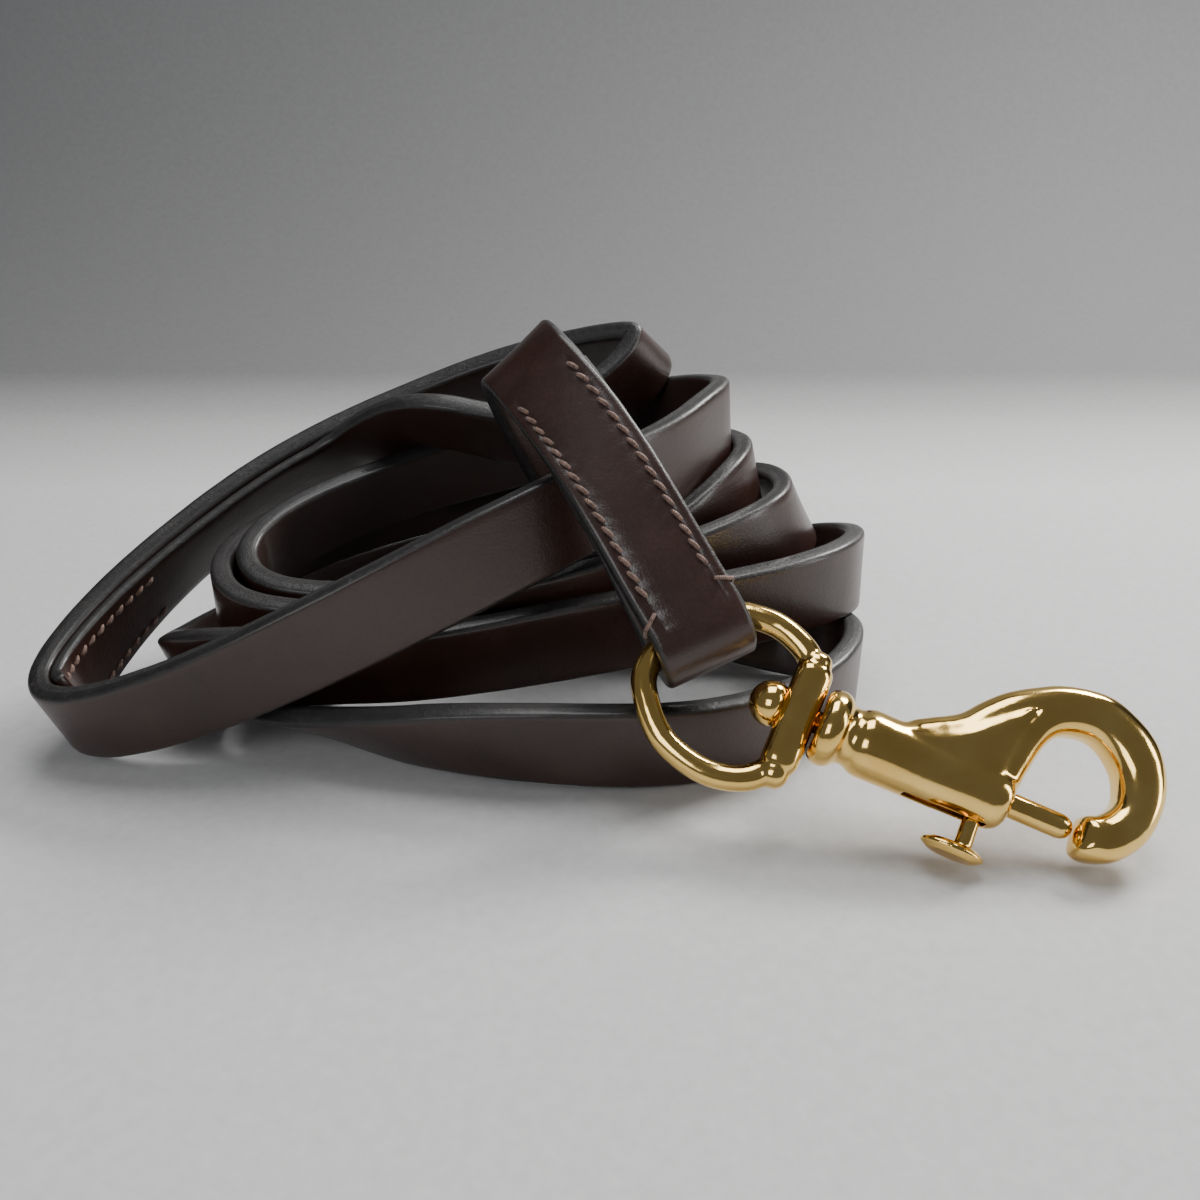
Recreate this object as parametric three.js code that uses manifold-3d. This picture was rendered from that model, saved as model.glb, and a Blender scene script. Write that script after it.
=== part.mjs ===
// Leather training leash: one flat bridle strap lying in a loose coil, a sewn hand loop,
// and a brass swivel bolt snap held in a stitched eye at the other end.
// Millimetres, +Z up. The strap is one continuous strip; its rows give the line it lies along.
import * as THREE from 'three';
import { mergeVertices } from 'three/addons/utils/BufferGeometryUtils.js';
import Module from 'manifold-3d';

const wasm = await Module();
wasm.setup();

// ---- driving dimensions (mm)
const STRAP_WIDTH = 16;
const EDGE_CHAMFER = 0.7;
const THREAD_RADIUS = 0.4;
const THREAD_GAP = 0.3;          // thread stands off the leather
const STITCH_PITCH = 2.8;
const SNAP_ROWS_FROM = 5;        // sewn length back from the swivel eye
const SNAP_ROWS_TO = 50;
const ROW_OFFSET = 5.6;          // stitch row from the strap's middle
const AXIS_T = 8.4;              // swivel and bolt axis in the snap's own plane
const EYE_THICK = 4.4;
const BOSS_THICK = 6.8;
const HOOK_THICK = 8.0;
const HOOK_BEVEL = 1.9;
const BARREL_R = 5.6;
const COLLAR_R = 6.5;
const BOLT_R = 2.05;
const BOLT_BORE_R = 2.2;
const POST_R = 1.95;
const POST_BORE_R = 2.0;
const BOLT_TRAVEL = 7;
const SNAP_SCALE = 0.9840;        // snap drawn at nominal size, then brought to the strap's scale

// rows: x, y, z of the middle of the strap, unit vector across its width, thickness
const ROWS = [
[-85.01,-17.04,9.96,-0.2526,-0.3068,0.9176,2.20],
[-87.52,-14.85,9.91,-0.1554,-0.3230,0.9335,2.20],
[-88.48,-11.94,10.64,-0.0774,-0.3633,0.9284,2.20],
[-88.20,-7.53,12.37,-0.0323,-0.4194,0.9072,2.20],
[-86.57,-2.09,14.93,0.0042,-0.4750,0.8800,2.20],
[-83.78,3.80,18.04,0.0408,-0.5254,0.8499,2.20],
[-79.98,9.77,21.49,0.0712,-0.5725,0.8168,2.20],
[-75.29,15.57,25.14,0.0877,-0.6155,0.7832,2.20],
[-69.88,21.01,28.89,0.0845,-0.6492,0.7559,2.20],
[-63.86,25.92,32.60,0.0659,-0.6689,0.7405,2.20],
[-57.32,30.19,36.08,0.0385,-0.6772,0.7348,2.20],
[-50.33,33.77,39.28,-0.0000,-0.6826,0.7308,2.20],
[-45.18,34.57,41.94,-0.4041,-0.7186,0.5659,2.54],
[-39.93,33.08,45.09,-0.5791,-0.6039,0.5477,2.88],
[-34.54,30.47,47.98,-0.5640,-0.5481,0.6177,3.22],
[-28.97,27.89,49.90,-0.3757,-0.6004,0.7060,3.56],
[-23.16,26.51,50.09,0.0621,-0.6947,0.7166,3.90],
[-18.47,26.05,49.23,0.0643,-0.6874,0.7234,3.90],
[-14.00,25.51,48.39,0.0414,-0.6544,0.7550,3.90],
[-9.66,25.12,47.97,-0.0060,-0.6075,0.7943,3.90],
[-5.41,25.15,48.18,-0.0719,-0.5615,0.8244,3.90],
[-1.22,25.76,49.13,-0.1508,-0.5301,0.8344,3.90],
[2.84,26.87,50.75,-0.2268,-0.5141,0.8272,3.90],
[6.67,28.34,52.89,-0.2908,-0.5133,0.8075,3.90],
[10.08,29.94,55.30,-0.3415,-0.5298,0.7763,3.90],
[12.88,31.49,57.74,-0.3756,-0.5603,0.7383,3.90],
[14.91,32.92,59.97,-0.3972,-0.5890,0.7037,3.90],
[16.06,34.17,61.74,-0.4267,-0.6084,0.6692,3.90],
[16.38,35.21,62.95,-0.4703,-0.6354,0.6124,3.90],
[15.95,36.04,63.55,-0.4713,-0.7014,0.5347,3.90],
[14.86,36.83,63.68,-0.4652,-0.7246,0.5086,3.90],
[13.18,37.76,63.47,-0.4600,-0.7322,0.5023,3.90],
[10.85,38.83,62.97,-0.4312,-0.7408,0.5151,3.90],
[7.80,39.97,62.19,-0.3980,-0.7441,0.5365,3.90],
[3.97,41.15,61.12,-0.3669,-0.7410,0.5624,3.90],
[-0.67,42.29,59.76,-0.3326,-0.7333,0.5930,3.90],
[-6.05,43.20,58.10,-0.2913,-0.7234,0.6260,3.90],
[-12.12,43.70,56.11,-0.2498,-0.7125,0.6557,3.90],
[-18.74,43.70,53.83,-0.2099,-0.7043,0.6781,3.90],
[-25.82,43.12,51.29,-0.1668,-0.7012,0.6931,3.90],
[-33.21,41.92,48.58,-0.1185,-0.6987,0.7055,3.90],
[-40.78,40.04,45.74,-0.0700,-0.6929,0.7177,3.90],
[-48.36,37.44,42.77,-0.0228,-0.6857,0.7275,3.90],
[-55.76,34.06,39.62,0.0205,-0.6799,0.7330,3.90],
[-62.80,29.95,36.19,0.0533,-0.6739,0.7369,3.90],
[-69.32,25.17,32.46,0.0766,-0.6607,0.7467,3.90],
[-75.24,19.84,28.54,0.0886,-0.6340,0.7682,3.90],
[-80.48,14.09,24.61,0.0816,-0.5948,0.7997,3.90],
[-84.92,8.06,20.77,0.0572,-0.5493,0.8337,3.90],
[-88.40,1.91,17.14,0.0228,-0.5007,0.8653,3.90],
[-90.77,-4.09,13.91,-0.0142,-0.4477,0.8941,3.90],
[-91.85,-9.66,11.30,-0.0522,-0.3910,0.9189,3.90],
[-91.29,-14.47,9.46,-0.1110,-0.3407,0.9336,3.90],
[-88.64,-18.28,8.60,-0.2065,-0.3111,0.9277,3.90],
[-83.40,-21.10,9.11,-0.2893,-0.3050,0.9074,3.90],
[-75.22,-23.02,11.35,-0.3365,-0.2978,0.8934,3.90],
[-64.47,-24.02,15.31,-0.3708,-0.2715,0.8881,3.90],
[-51.79,-24.00,20.76,-0.3912,-0.2152,0.8948,3.90],
[-38.22,-22.67,26.94,-0.3931,-0.1422,0.9084,3.90],
[-24.81,-19.80,32.97,-0.3843,-0.0744,0.9202,3.90],
[-12.37,-15.62,38.21,-0.3582,-0.0284,0.9332,3.90],
[-1.51,-10.48,42.21,-0.3135,-0.0159,0.9494,3.90],
[7.46,-4.85,45.05,-0.2598,-0.0348,0.9650,3.90],
[14.42,0.81,47.00,-0.1981,-0.0689,0.9778,3.90],
[19.60,6.14,48.38,-0.1538,-0.1019,0.9828,3.90],
[23.32,10.84,49.47,-0.1416,-0.1166,0.9830,3.90],
[26.01,14.86,50.31,-0.1359,-0.1048,0.9852,3.90],
[28.04,18.20,50.89,-0.1214,-0.0786,0.9895,3.90],
[29.49,21.03,51.23,-0.0999,-0.0411,0.9941,3.90],
[30.32,23.51,51.35,-0.0767,0.0074,0.9970,3.90],
[30.53,25.85,51.29,-0.0609,0.0542,0.9967,3.90],
[30.07,28.21,51.09,-0.0560,0.0963,0.9938,3.90],
[29.01,30.69,50.73,-0.0657,0.1329,0.9889,3.90],
[27.37,33.31,50.22,-0.0908,0.1574,0.9834,3.90],
[25.16,35.98,49.52,-0.1285,0.1694,0.9771,3.90],
[22.34,38.59,48.63,-0.1721,0.1639,0.9713,3.90],
[18.92,40.91,47.58,-0.2132,0.1381,0.9672,3.90],
[14.88,42.76,46.39,-0.2447,0.0917,0.9652,3.90],
[10.21,43.98,45.08,-0.2590,0.0274,0.9655,3.90],
[4.90,44.43,43.67,-0.2503,-0.0487,0.9669,3.90],
[-1.02,44.05,42.19,-0.2185,-0.1293,0.9672,3.90],
[-7.52,42.79,40.66,-0.1658,-0.2079,0.9640,3.90],
[-14.46,40.67,39.16,-0.0967,-0.2792,0.9554,3.90],
[-21.71,37.75,37.75,-0.0234,-0.3398,0.9402,3.90],
[-29.00,34.16,36.42,0.0417,-0.3829,0.9228,3.90],
[-36.07,30.01,35.15,0.0893,-0.4016,0.9115,3.90],
[-42.65,25.39,33.86,0.1113,-0.3961,0.9115,3.90],
[-48.43,20.39,32.46,0.1035,-0.3709,0.9229,3.90],
[-53.13,15.22,30.93,0.0751,-0.3454,0.9354,3.90],
[-56.45,10.11,29.29,0.0419,-0.3364,0.9408,3.90],
[-58.12,5.34,27.62,0.0135,-0.3500,0.9367,3.90],
[-57.89,1.17,25.99,0.0013,-0.3796,0.9251,3.90],
[-55.73,-2.17,24.56,0.0024,-0.4039,0.9148,3.90],
[-51.71,-4.49,23.49,0.0093,-0.4109,0.9116,3.90],
[-46.12,-5.81,22.84,0.0108,-0.3987,0.9170,3.90],
[-39.30,-6.21,22.61,0.0048,-0.3714,0.9285,3.90],
[-31.66,-5.91,22.72,-0.0058,-0.3384,0.9410,3.90],
[-23.58,-5.14,23.10,-0.0232,-0.3096,0.9506,3.90],
[-15.35,-4.08,23.74,-0.0502,-0.2863,0.9568,3.90],
[-7.23,-2.91,24.65,-0.0855,-0.2681,0.9596,3.90],
[0.56,-1.67,25.85,-0.1300,-0.2564,0.9578,3.90],
[7.80,-0.31,27.39,-0.1810,-0.2510,0.9509,3.90],
[14.37,1.33,29.26,-0.2362,-0.2456,0.9401,3.90],
[20.18,3.44,31.43,-0.2863,-0.2322,0.9296,3.90],
[25.19,6.13,33.71,-0.3205,-0.2034,0.9251,3.90],
[29.38,9.44,35.86,-0.3386,-0.1625,0.9268,3.90],
[32.71,13.23,37.63,-0.3264,-0.1143,0.9383,3.90],
[35.12,17.35,38.81,-0.2857,-0.0704,0.9557,3.90],
[36.39,21.75,39.40,-0.2339,-0.0360,0.9716,3.90],
[36.31,26.36,39.47,-0.1840,0.0027,0.9829,3.90],
[34.85,31.03,39.13,-0.1454,0.0409,0.9885,3.90],
[32.02,35.57,38.49,-0.1217,0.0744,0.9898,3.90],
[27.91,39.77,37.64,-0.1111,0.0998,0.9888,3.90],
[22.61,43.46,36.65,-0.1104,0.1147,0.9872,3.90],
[16.28,46.40,35.57,-0.1161,0.1189,0.9861,3.90],
[9.11,48.41,34.46,-0.1238,0.1124,0.9859,3.90],
[1.30,49.36,33.35,-0.1297,0.0954,0.9869,3.90],
[-6.91,49.18,32.27,-0.1310,0.0697,0.9889,3.90],
[-15.28,47.85,31.25,-0.1262,0.0396,0.9912,3.90],
[-23.58,45.42,30.30,-0.1147,0.0091,0.9934,3.90],
[-31.57,41.97,29.42,-0.0966,-0.0203,0.9951,3.90],
[-39.05,37.61,28.63,-0.0719,-0.0472,0.9963,3.90],
[-45.81,32.53,27.94,-0.0411,-0.0699,0.9967,3.90],
[-51.66,26.92,27.35,-0.0081,-0.0884,0.9961,3.90],
[-56.45,20.96,26.80,0.0219,-0.1035,0.9944,3.90],
[-60.06,14.86,26.25,0.0448,-0.1159,0.9922,3.90],
[-62.36,8.85,25.62,0.0596,-0.1313,0.9895,3.90],
[-63.26,3.19,24.88,0.0682,-0.1479,0.9867,3.90],
[-62.78,-1.85,24.05,0.0649,-0.1644,0.9843,3.90],
[-60.95,-6.02,23.20,0.0468,-0.1898,0.9807,3.90],
[-57.73,-9.17,22.42,0.0310,-0.2230,0.9743,3.90],
[-53.14,-11.22,21.79,0.0268,-0.2497,0.9680,3.90],
[-47.41,-12.23,21.37,0.0225,-0.2686,0.9630,3.90],
[-40.83,-12.35,21.21,0.0126,-0.2826,0.9592,3.90],
[-33.66,-11.78,21.36,-0.0063,-0.2903,0.9569,3.90],
[-26.13,-10.76,21.81,-0.0304,-0.2907,0.9563,3.90],
[-18.38,-9.52,22.53,-0.0555,-0.2855,0.9568,3.90],
[-10.57,-8.22,23.47,-0.0793,-0.2769,0.9576,3.90],
[-2.81,-6.91,24.57,-0.1000,-0.2635,0.9595,3.90],
[4.78,-5.54,25.79,-0.1183,-0.2436,0.9626,3.90],
[12.09,-4.05,27.10,-0.1349,-0.2151,0.9672,3.90],
[19.00,-2.36,28.46,-0.1509,-0.1771,0.9726,3.90],
[25.37,-0.43,29.81,-0.1662,-0.1325,0.9771,3.90],
[31.06,1.79,31.06,-0.1824,-0.0858,0.9795,3.90],
[35.90,4.32,32.17,-0.2020,-0.0407,0.9785,3.90],
[39.75,7.20,33.07,-0.2300,-0.0013,0.9732,3.90],
[42.54,10.43,33.75,-0.2757,0.0283,0.9608,3.90],
[44.30,14.01,34.17,-0.3441,0.0433,0.9379,3.90],
[45.17,17.91,34.34,-0.4197,0.0421,0.9067,3.90],
[45.31,22.09,34.24,-0.4853,0.0250,0.8740,3.90],
[44.72,26.50,33.83,-0.5276,-0.0046,0.8495,3.90],
[43.30,31.08,33.05,-0.5369,-0.0386,0.8427,3.90],
[40.86,35.71,31.82,-0.5162,-0.0661,0.8539,3.90],
[37.18,40.22,30.10,-0.4727,-0.0774,0.8778,3.90],
[32.17,44.38,27.96,-0.4163,-0.0737,0.9063,3.90],
[25.79,47.90,25.54,-0.3589,-0.0558,0.9317,3.90],
[18.15,50.50,22.97,-0.3064,-0.0290,0.9515,3.90],
[9.41,51.92,20.41,-0.2636,0.0012,0.9646,3.90],
[-0.18,52.04,17.97,-0.2310,0.0317,0.9724,3.90],
[-10.32,50.80,15.76,-0.2083,0.0605,0.9762,3.90],
[-20.63,48.29,13.83,-0.1949,0.0884,0.9768,3.90],
[-30.76,44.62,12.22,-0.1926,0.1159,0.9744,3.90],
[-40.29,39.90,10.91,-0.2048,0.1411,0.9686,3.90],
[-48.86,34.24,9.89,-0.2308,0.1631,0.9592,3.90],
[-56.17,27.82,9.14,-0.2707,0.1792,0.9458,3.90],
[-61.99,20.87,8.68,-0.3192,0.1900,0.9284,3.90],
[-66.22,13.67,8.63,-0.3687,0.1992,0.9080,3.90],
[-68.84,6.56,9.10,-0.4133,0.2045,0.8873,3.90],
[-69.96,-0.13,10.14,-0.4433,0.2124,0.8708,3.90],
[-69.71,-6.07,11.74,-0.4550,0.2107,0.8652,3.90],
[-68.24,-11.01,13.62,-0.4401,0.1821,0.8793,3.90],
[-65.73,-14.78,15.47,-0.3951,0.1295,0.9094,3.90],
[-62.37,-17.31,17.02,-0.3110,0.0504,0.9491,3.90],
[-58.32,-18.64,18.08,-0.1856,-0.0443,0.9816,3.90],
[-53.70,-18.94,18.59,-0.0450,-0.1334,0.9900,3.90],
[-48.56,-18.42,18.59,0.0705,-0.2000,0.9773,3.90],
[-42.88,-17.41,18.21,0.1295,-0.2467,0.9604,3.90],
[-36.58,-16.23,17.65,0.1269,-0.2736,0.9534,3.90],
[-29.64,-14.98,17.28,0.0681,-0.2848,0.9562,3.90],
[-22.05,-13.70,17.43,-0.0057,-0.2785,0.9604,3.90],
[-13.82,-12.44,18.09,-0.0648,-0.2539,0.9651,3.90],
[-4.98,-11.21,19.18,-0.1016,-0.2167,0.9709,3.90],
[4.33,-9.95,20.47,-0.1099,-0.1830,0.9769,3.90],
[13.97,-8.56,21.75,-0.0973,-0.1683,0.9809,3.90],
[23.65,-6.80,22.88,-0.0708,-0.1673,0.9834,3.90],
[33.03,-4.44,23.80,-0.0357,-0.1661,0.9855,3.90],
[41.56,-1.29,24.46,-0.0021,-0.1409,0.9900,3.90],
[48.68,2.81,24.83,0.0212,-0.0722,0.9972,3.90],
[53.85,7.75,24.80,0.0300,0.0323,0.9990,3.90],
[56.62,13.34,24.21,0.0141,0.1489,0.9888,3.90],
[56.83,19.16,22.99,-0.0157,0.2582,0.9660,3.90],
[54.46,24.74,21.13,-0.0491,0.3410,0.9388,3.90],
[49.74,29.57,18.88,-0.0772,0.3940,0.9159,3.90],
[42.97,33.23,16.55,-0.1011,0.4249,0.8996,3.90],
[34.54,35.46,14.44,-0.1162,0.4360,0.8924,3.90],
[24.89,36.15,12.79,-0.1263,0.4339,0.8920,3.90],
[14.46,35.36,11.64,-0.1348,0.4231,0.8960,3.90],
[3.69,33.21,10.97,-0.1429,0.4073,0.9020,3.90],
[-6.99,29.90,10.68,-0.1538,0.3876,0.9089,3.90],
[-17.16,25.66,10.64,-0.1677,0.3653,0.9156,3.90],
[-26.50,20.85,10.69,-0.1869,0.3406,0.9214,3.90],
[-34.69,15.84,10.69,-0.2149,0.3119,0.9255,3.90],
[-41.56,10.92,10.52,-0.2562,0.2741,0.9270,3.90],
[-46.98,6.37,10.10,-0.3119,0.2224,0.9237,3.90],
[-50.97,2.36,9.44,-0.3804,0.1494,0.9127,3.90],
[-53.60,-0.99,8.60,-0.4624,0.0426,0.8857,3.90],
[-55.08,-3.80,7.67,-0.5457,-0.0913,0.8330,3.90],
[-55.56,-6.24,6.88,-0.6190,-0.2822,0.7329,3.90],
[-54.86,-8.59,6.22,-0.5978,-0.5197,0.6104,3.90],
[-52.76,-11.07,5.83,-0.5234,-0.6573,0.5422,3.90],
[-49.07,-13.83,5.82,-0.4668,-0.7010,0.5391,3.90],
[-43.72,-16.87,6.28,-0.4103,-0.6784,0.6094,3.90],
[-36.82,-20.02,6.96,-0.3403,-0.6041,0.7206,3.90],
[-28.56,-23.02,7.58,-0.2573,-0.4904,0.8327,3.90],
[-19.24,-25.62,8.53,-0.1602,-0.3638,0.9176,3.90],
[-9.20,-27.57,9.09,-0.0686,-0.2541,0.9647,3.90],
[1.12,-28.61,9.18,0.0055,-0.1751,0.9845,3.90],
[11.32,-28.44,8.86,0.0547,-0.1324,0.9897,3.90],
[21.23,-26.79,8.41,0.0696,-0.1136,0.9911,3.90],
[30.66,-23.49,8.12,0.0642,-0.1028,0.9926,3.90],
[39.18,-18.74,8.09,0.0486,-0.0923,0.9945,3.90],
[46.29,-12.89,8.32,0.0291,-0.0784,0.9965,3.90],
[51.55,-6.54,8.63,0.0152,-0.0545,0.9984,3.90],
[54.61,-0.34,8.84,0.0094,-0.0207,0.9997,3.90],
[55.40,5.21,8.81,0.0206,0.0353,0.9992,3.90],
[54.00,9.72,8.53,0.0544,0.1202,0.9913,3.90],
[50.68,13.19,8.21,0.1080,0.2263,0.9681,3.90],
[45.80,15.72,8.18,0.1697,0.3437,0.9236,3.90],
[39.83,17.55,8.76,0.2480,0.4505,0.8576,3.90],
[33.25,18.90,10.30,0.3311,0.5379,0.7752,3.90],
[26.55,19.76,13.04,0.4095,0.6021,0.6854,3.90],
[20.15,20.10,17.14,0.4746,0.6432,0.6009,3.90],
[14.27,19.90,22.58,0.5237,0.6645,0.5330,3.90],
[8.99,19.16,29.24,0.5630,0.6695,0.4845,3.90],
[4.17,17.98,36.85,0.5976,0.6579,0.4584,3.90],
[-0.30,16.51,45.06,0.6349,0.6315,0.4451,3.90],
[-4.13,14.73,53.26,0.6695,0.6053,0.4306,3.90],
[-6.89,12.55,60.62,0.6898,0.5751,0.4399,3.90],
[-8.00,9.53,65.70,0.7066,0.4745,0.5250,3.90],
[-7.05,5.31,67.30,0.6836,0.2693,0.6784,3.90],
[-4.35,0.23,65.96,0.6784,0.0847,0.7298,3.90],
[-0.44,-5.20,62.62,0.7635,0.1084,0.6367,3.90],
[3.91,-10.51,58.11,0.8366,0.2104,0.5057,3.90],
[8.04,-15.27,53.11,0.8683,0.2808,0.4089,3.90],
[11.87,-19.48,47.85,0.8779,0.2985,0.3743,3.90],
[15.49,-23.21,42.46,0.8794,0.2947,0.3739,3.90],
[18.97,-26.60,37.19,0.8712,0.3022,0.3870,3.90],
[22.39,-29.77,32.26,0.9069,0.2644,0.3282,3.90],
[22.96,-30.31,31.11,0.9069,0.2644,0.3282,3.90],
[23.49,-30.52,29.83,0.9069,0.2644,0.3282,3.90],
[23.92,-30.37,28.52,0.9069,0.2644,0.3282,3.90],
[24.24,-29.88,27.25,0.9069,0.2644,0.3282,3.90],
[24.41,-29.08,26.11,0.9069,0.2644,0.3282,3.90],
[24.44,-28.03,25.19,0.9069,0.2644,0.3282,3.90],
[24.31,-26.80,24.55,0.9069,0.2644,0.3282,3.90],
[24.04,-25.47,24.23,0.9069,0.2644,0.3282,3.90],
[23.65,-24.13,24.24,0.9069,0.2644,0.3282,3.90],
[23.15,-22.87,24.60,0.9069,0.2644,0.3282,3.90],
[22.59,-21.79,25.28,0.9069,0.2644,0.3282,3.90],
[22.00,-20.95,26.23,0.9069,0.2644,0.3282,3.90],
[20.72,-20.01,28.24,0.8624,0.3108,0.3996,3.62],
[19.49,-19.53,30.56,0.8675,0.3058,0.3923,3.34],
[18.29,-19.37,33.08,0.8723,0.3011,0.3853,3.06],
[17.13,-19.38,35.71,0.8762,0.2974,0.3793,2.77],
[15.76,-19.40,38.84,0.8787,0.2953,0.3751,2.44],
[14.38,-19.11,41.77,0.8796,0.2950,0.3732,2.10],
[12.98,-18.05,44.17,0.8791,0.2964,0.3732,2.10],
[11.08,-16.04,46.92,0.8765,0.2977,0.3783,2.10],
[9.21,-13.92,49.58,0.8718,0.2896,0.3951,2.10],
[6.91,-11.11,52.81,0.8606,0.2602,0.4379,2.10],
[4.64,-8.15,55.90,0.8379,0.2128,0.5026,2.10],
[2.37,-5.03,58.82,0.7993,0.1518,0.5814,2.10],
[0.11,-1.77,61.49,0.7452,0.0955,0.6600,2.10],
[-1.69,0.93,63.30,0.6990,0.0799,0.7107,2.10]
];
const TAIL_ROWS = 16;      // the sewn, skived end comes first
const WRAP_END = 260;       // row where the turn round the eye ends
const EYE_CENTRE = new THREE.Vector3(22.19460, -25.35733, 29.24551);
const AXIS_S = new THREE.Vector3(0.91015, -0.29769, -0.28811);            // along the swivel
const AXIS_U = new THREE.Vector3(0.41331, 0.60478, 0.68075);
const AXIS_W = new THREE.Vector3(-0.02841, -0.73866, 0.67348);            // out of the snap's flat face

// ---- helpers
const toSolid = (geometry) => {
  const g = geometry.clone();
  g.deleteAttribute('normal');
  g.deleteAttribute('uv');
  const m = mergeVertices(g, 1e-4);
  return new wasm.Manifold(new wasm.Mesh({
    numProp: 3,
    vertProperties: Float32Array.from(m.attributes.position.array),
    triVerts: Uint32Array.from(m.index.array),
  }));
};
const toGeometry = (solid) => {
  const k = solid.getMesh();
  const g = new THREE.BufferGeometry();
  g.setAttribute('position', new THREE.BufferAttribute(Float32Array.from(k.vertProperties), 3));
  g.setIndex(new THREE.BufferAttribute(Uint32Array.from(k.triVerts), 1));
  g.computeVertexNormals();
  return g;
};

const rowPoint = ROWS.map((r) => new THREE.Vector3(r[0], r[1], r[2]));
const rowAcross = ROWS.map((r) => new THREE.Vector3(r[3], r[4], r[5]).normalize());
const rowThick = ROWS.map((r) => r[6]);
const rowOut = ROWS.map((_, i) => {
  const a = rowPoint[Math.max(0, i - 1)], b = rowPoint[Math.min(ROWS.length - 1, i + 1)];
  const t = b.clone().sub(a).normalize();
  return t.cross(rowAcross[i]).normalize();
});

// a line with its own frames, so the flat strip keeps its own width direction
class Strip extends THREE.Curve {
  constructor(points, out, across) { super(); this.p = points; this.n = out; this.w = across; }
  getPoint(t) { const f = t * (this.p.length - 1), i = Math.min(Math.floor(f), this.p.length - 2); return this.p[i].clone().lerp(this.p[i + 1], f - i); }
  getPointAt(t) { return this.getPoint(t); }
  getSpacedPoints() { return this.p.map((q) => q.clone()); }
  computeFrenetFrames() {
    const tangents = this.p.map((_, i) => this.p[Math.min(i + 1, this.p.length - 1)].clone().sub(this.p[Math.max(i - 1, 0)]).normalize());
    return { tangents, normals: this.n.map((v) => v.clone()), binormals: this.w.map((v) => v.clone().negate()) };
  }
}
const sweep = (section, points, out, across) => new THREE.ExtrudeGeometry(section, {
  steps: points.length - 1, bevelEnabled: false, extrudePath: new Strip(points, out, across),
});

const c = EDGE_CHAMFER / 4;      // the section is one unit thick: rows scale it
const strapSection = new THREE.Shape([
  [-0.5, -STRAP_WIDTH / 2 + 1.1], [-0.5 + c, -STRAP_WIDTH / 2 + 0.25], [0.5 - c, -STRAP_WIDTH / 2 + 0.25], [0.5, -STRAP_WIDTH / 2 + 1.1],
  [0.5, STRAP_WIDTH / 2 - 1.1], [0.5 - c, STRAP_WIDTH / 2 - 0.25], [-0.5 + c, STRAP_WIDTH / 2 - 0.25], [-0.5, STRAP_WIDTH / 2 - 1.1],
].map(([x, y]) => new THREE.Vector2(x, y * (STRAP_WIDTH / (STRAP_WIDTH - 0.5)))));

// ---- the strap, joined from lengths short enough not to cross themselves
const STEP = 22;
let strap = null;
for (let a = 0; a < ROWS.length - 1; a += STEP) {
  const b = Math.min(a + STEP, ROWS.length - 1);
  const pick = (list) => list.slice(a, b + 1);
  const piece = toSolid(sweep(strapSection, pick(rowPoint), pick(rowOut).map((v, k) => v.clone().multiplyScalar(rowThick[a + k])), pick(rowAcross)));
  strap = strap ? strap.add(piece) : piece;
}

// ---- stitching: one thread per row, riding just off the leather
const roundSection = (r, n) => new THREE.Shape(Array.from({ length: n }, (_, i) => new THREE.Vector2(r * Math.cos(2 * Math.PI * i / n), r * Math.sin(2 * Math.PI * i / n))));
const alongRows = (from, to) => {
  // points every quarter stitch between two row positions, straight between rows
  const lengths = [0];
  const lo = Math.floor(Math.min(from, to)), hi = Math.ceil(Math.max(from, to));
  for (let i = lo; i < hi; i++) lengths.push(lengths[lengths.length - 1] + rowPoint[i].distanceTo(rowPoint[i + 1]));
  return { lo, lengths };
};
const stitchRow = (startRow, direction, skip, length, side, faceSign) => {
  const pts = [], outs = [], accs = [];
  let row = startRow, done = -skip, k = 0;
  const step = STITCH_PITCH / 4;
  let travelled = 0, next = skip;
  while (next <= skip + length + 1e-6) {
    // walk to distance `next` from startRow
    let need = next, i = startRow;
    for (;;) {
      const d = rowPoint[i].distanceTo(rowPoint[i + direction]);
      if (need <= d) break;
      need -= d; i += direction;
    }
    const f = need / rowPoint[i].distanceTo(rowPoint[i + direction]);
    const j = i + direction;
    const p = rowPoint[i].clone().lerp(rowPoint[j], f);
    const w = rowAcross[i].clone().lerp(rowAcross[j], f);
    const n = rowOut[i].clone().lerp(rowOut[j], f);
    const th = rowThick[i] + (rowThick[j] - rowThick[i]) * f;
    const lift = THREAD_GAP + THREAD_RADIUS + 0.16 * (1 - Math.cos(2 * Math.PI * (next - skip) / STITCH_PITCH));
    pts.push(p.addScaledVector(w, side).addScaledVector(n, faceSign * (th / 2 * n.length() / Math.max(n.length(), 1e-6) + lift)));
    outs.push(n.normalize()); accs.push(w.normalize());
    next += step;
  }
  for (let i = 0; i < pts.length; i++) {
    const t = pts[Math.min(i + 1, pts.length - 1)].clone().sub(pts[Math.max(i - 1, 0)]).normalize();
    const w = accs[i].clone().addScaledVector(t, -accs[i].dot(t)).normalize();
    accs[i] = w; outs[i] = t.clone().cross(w).normalize();
  }
  return sweep(roundSection(THREAD_RADIUS, 6), pts, outs, accs);
};

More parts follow.
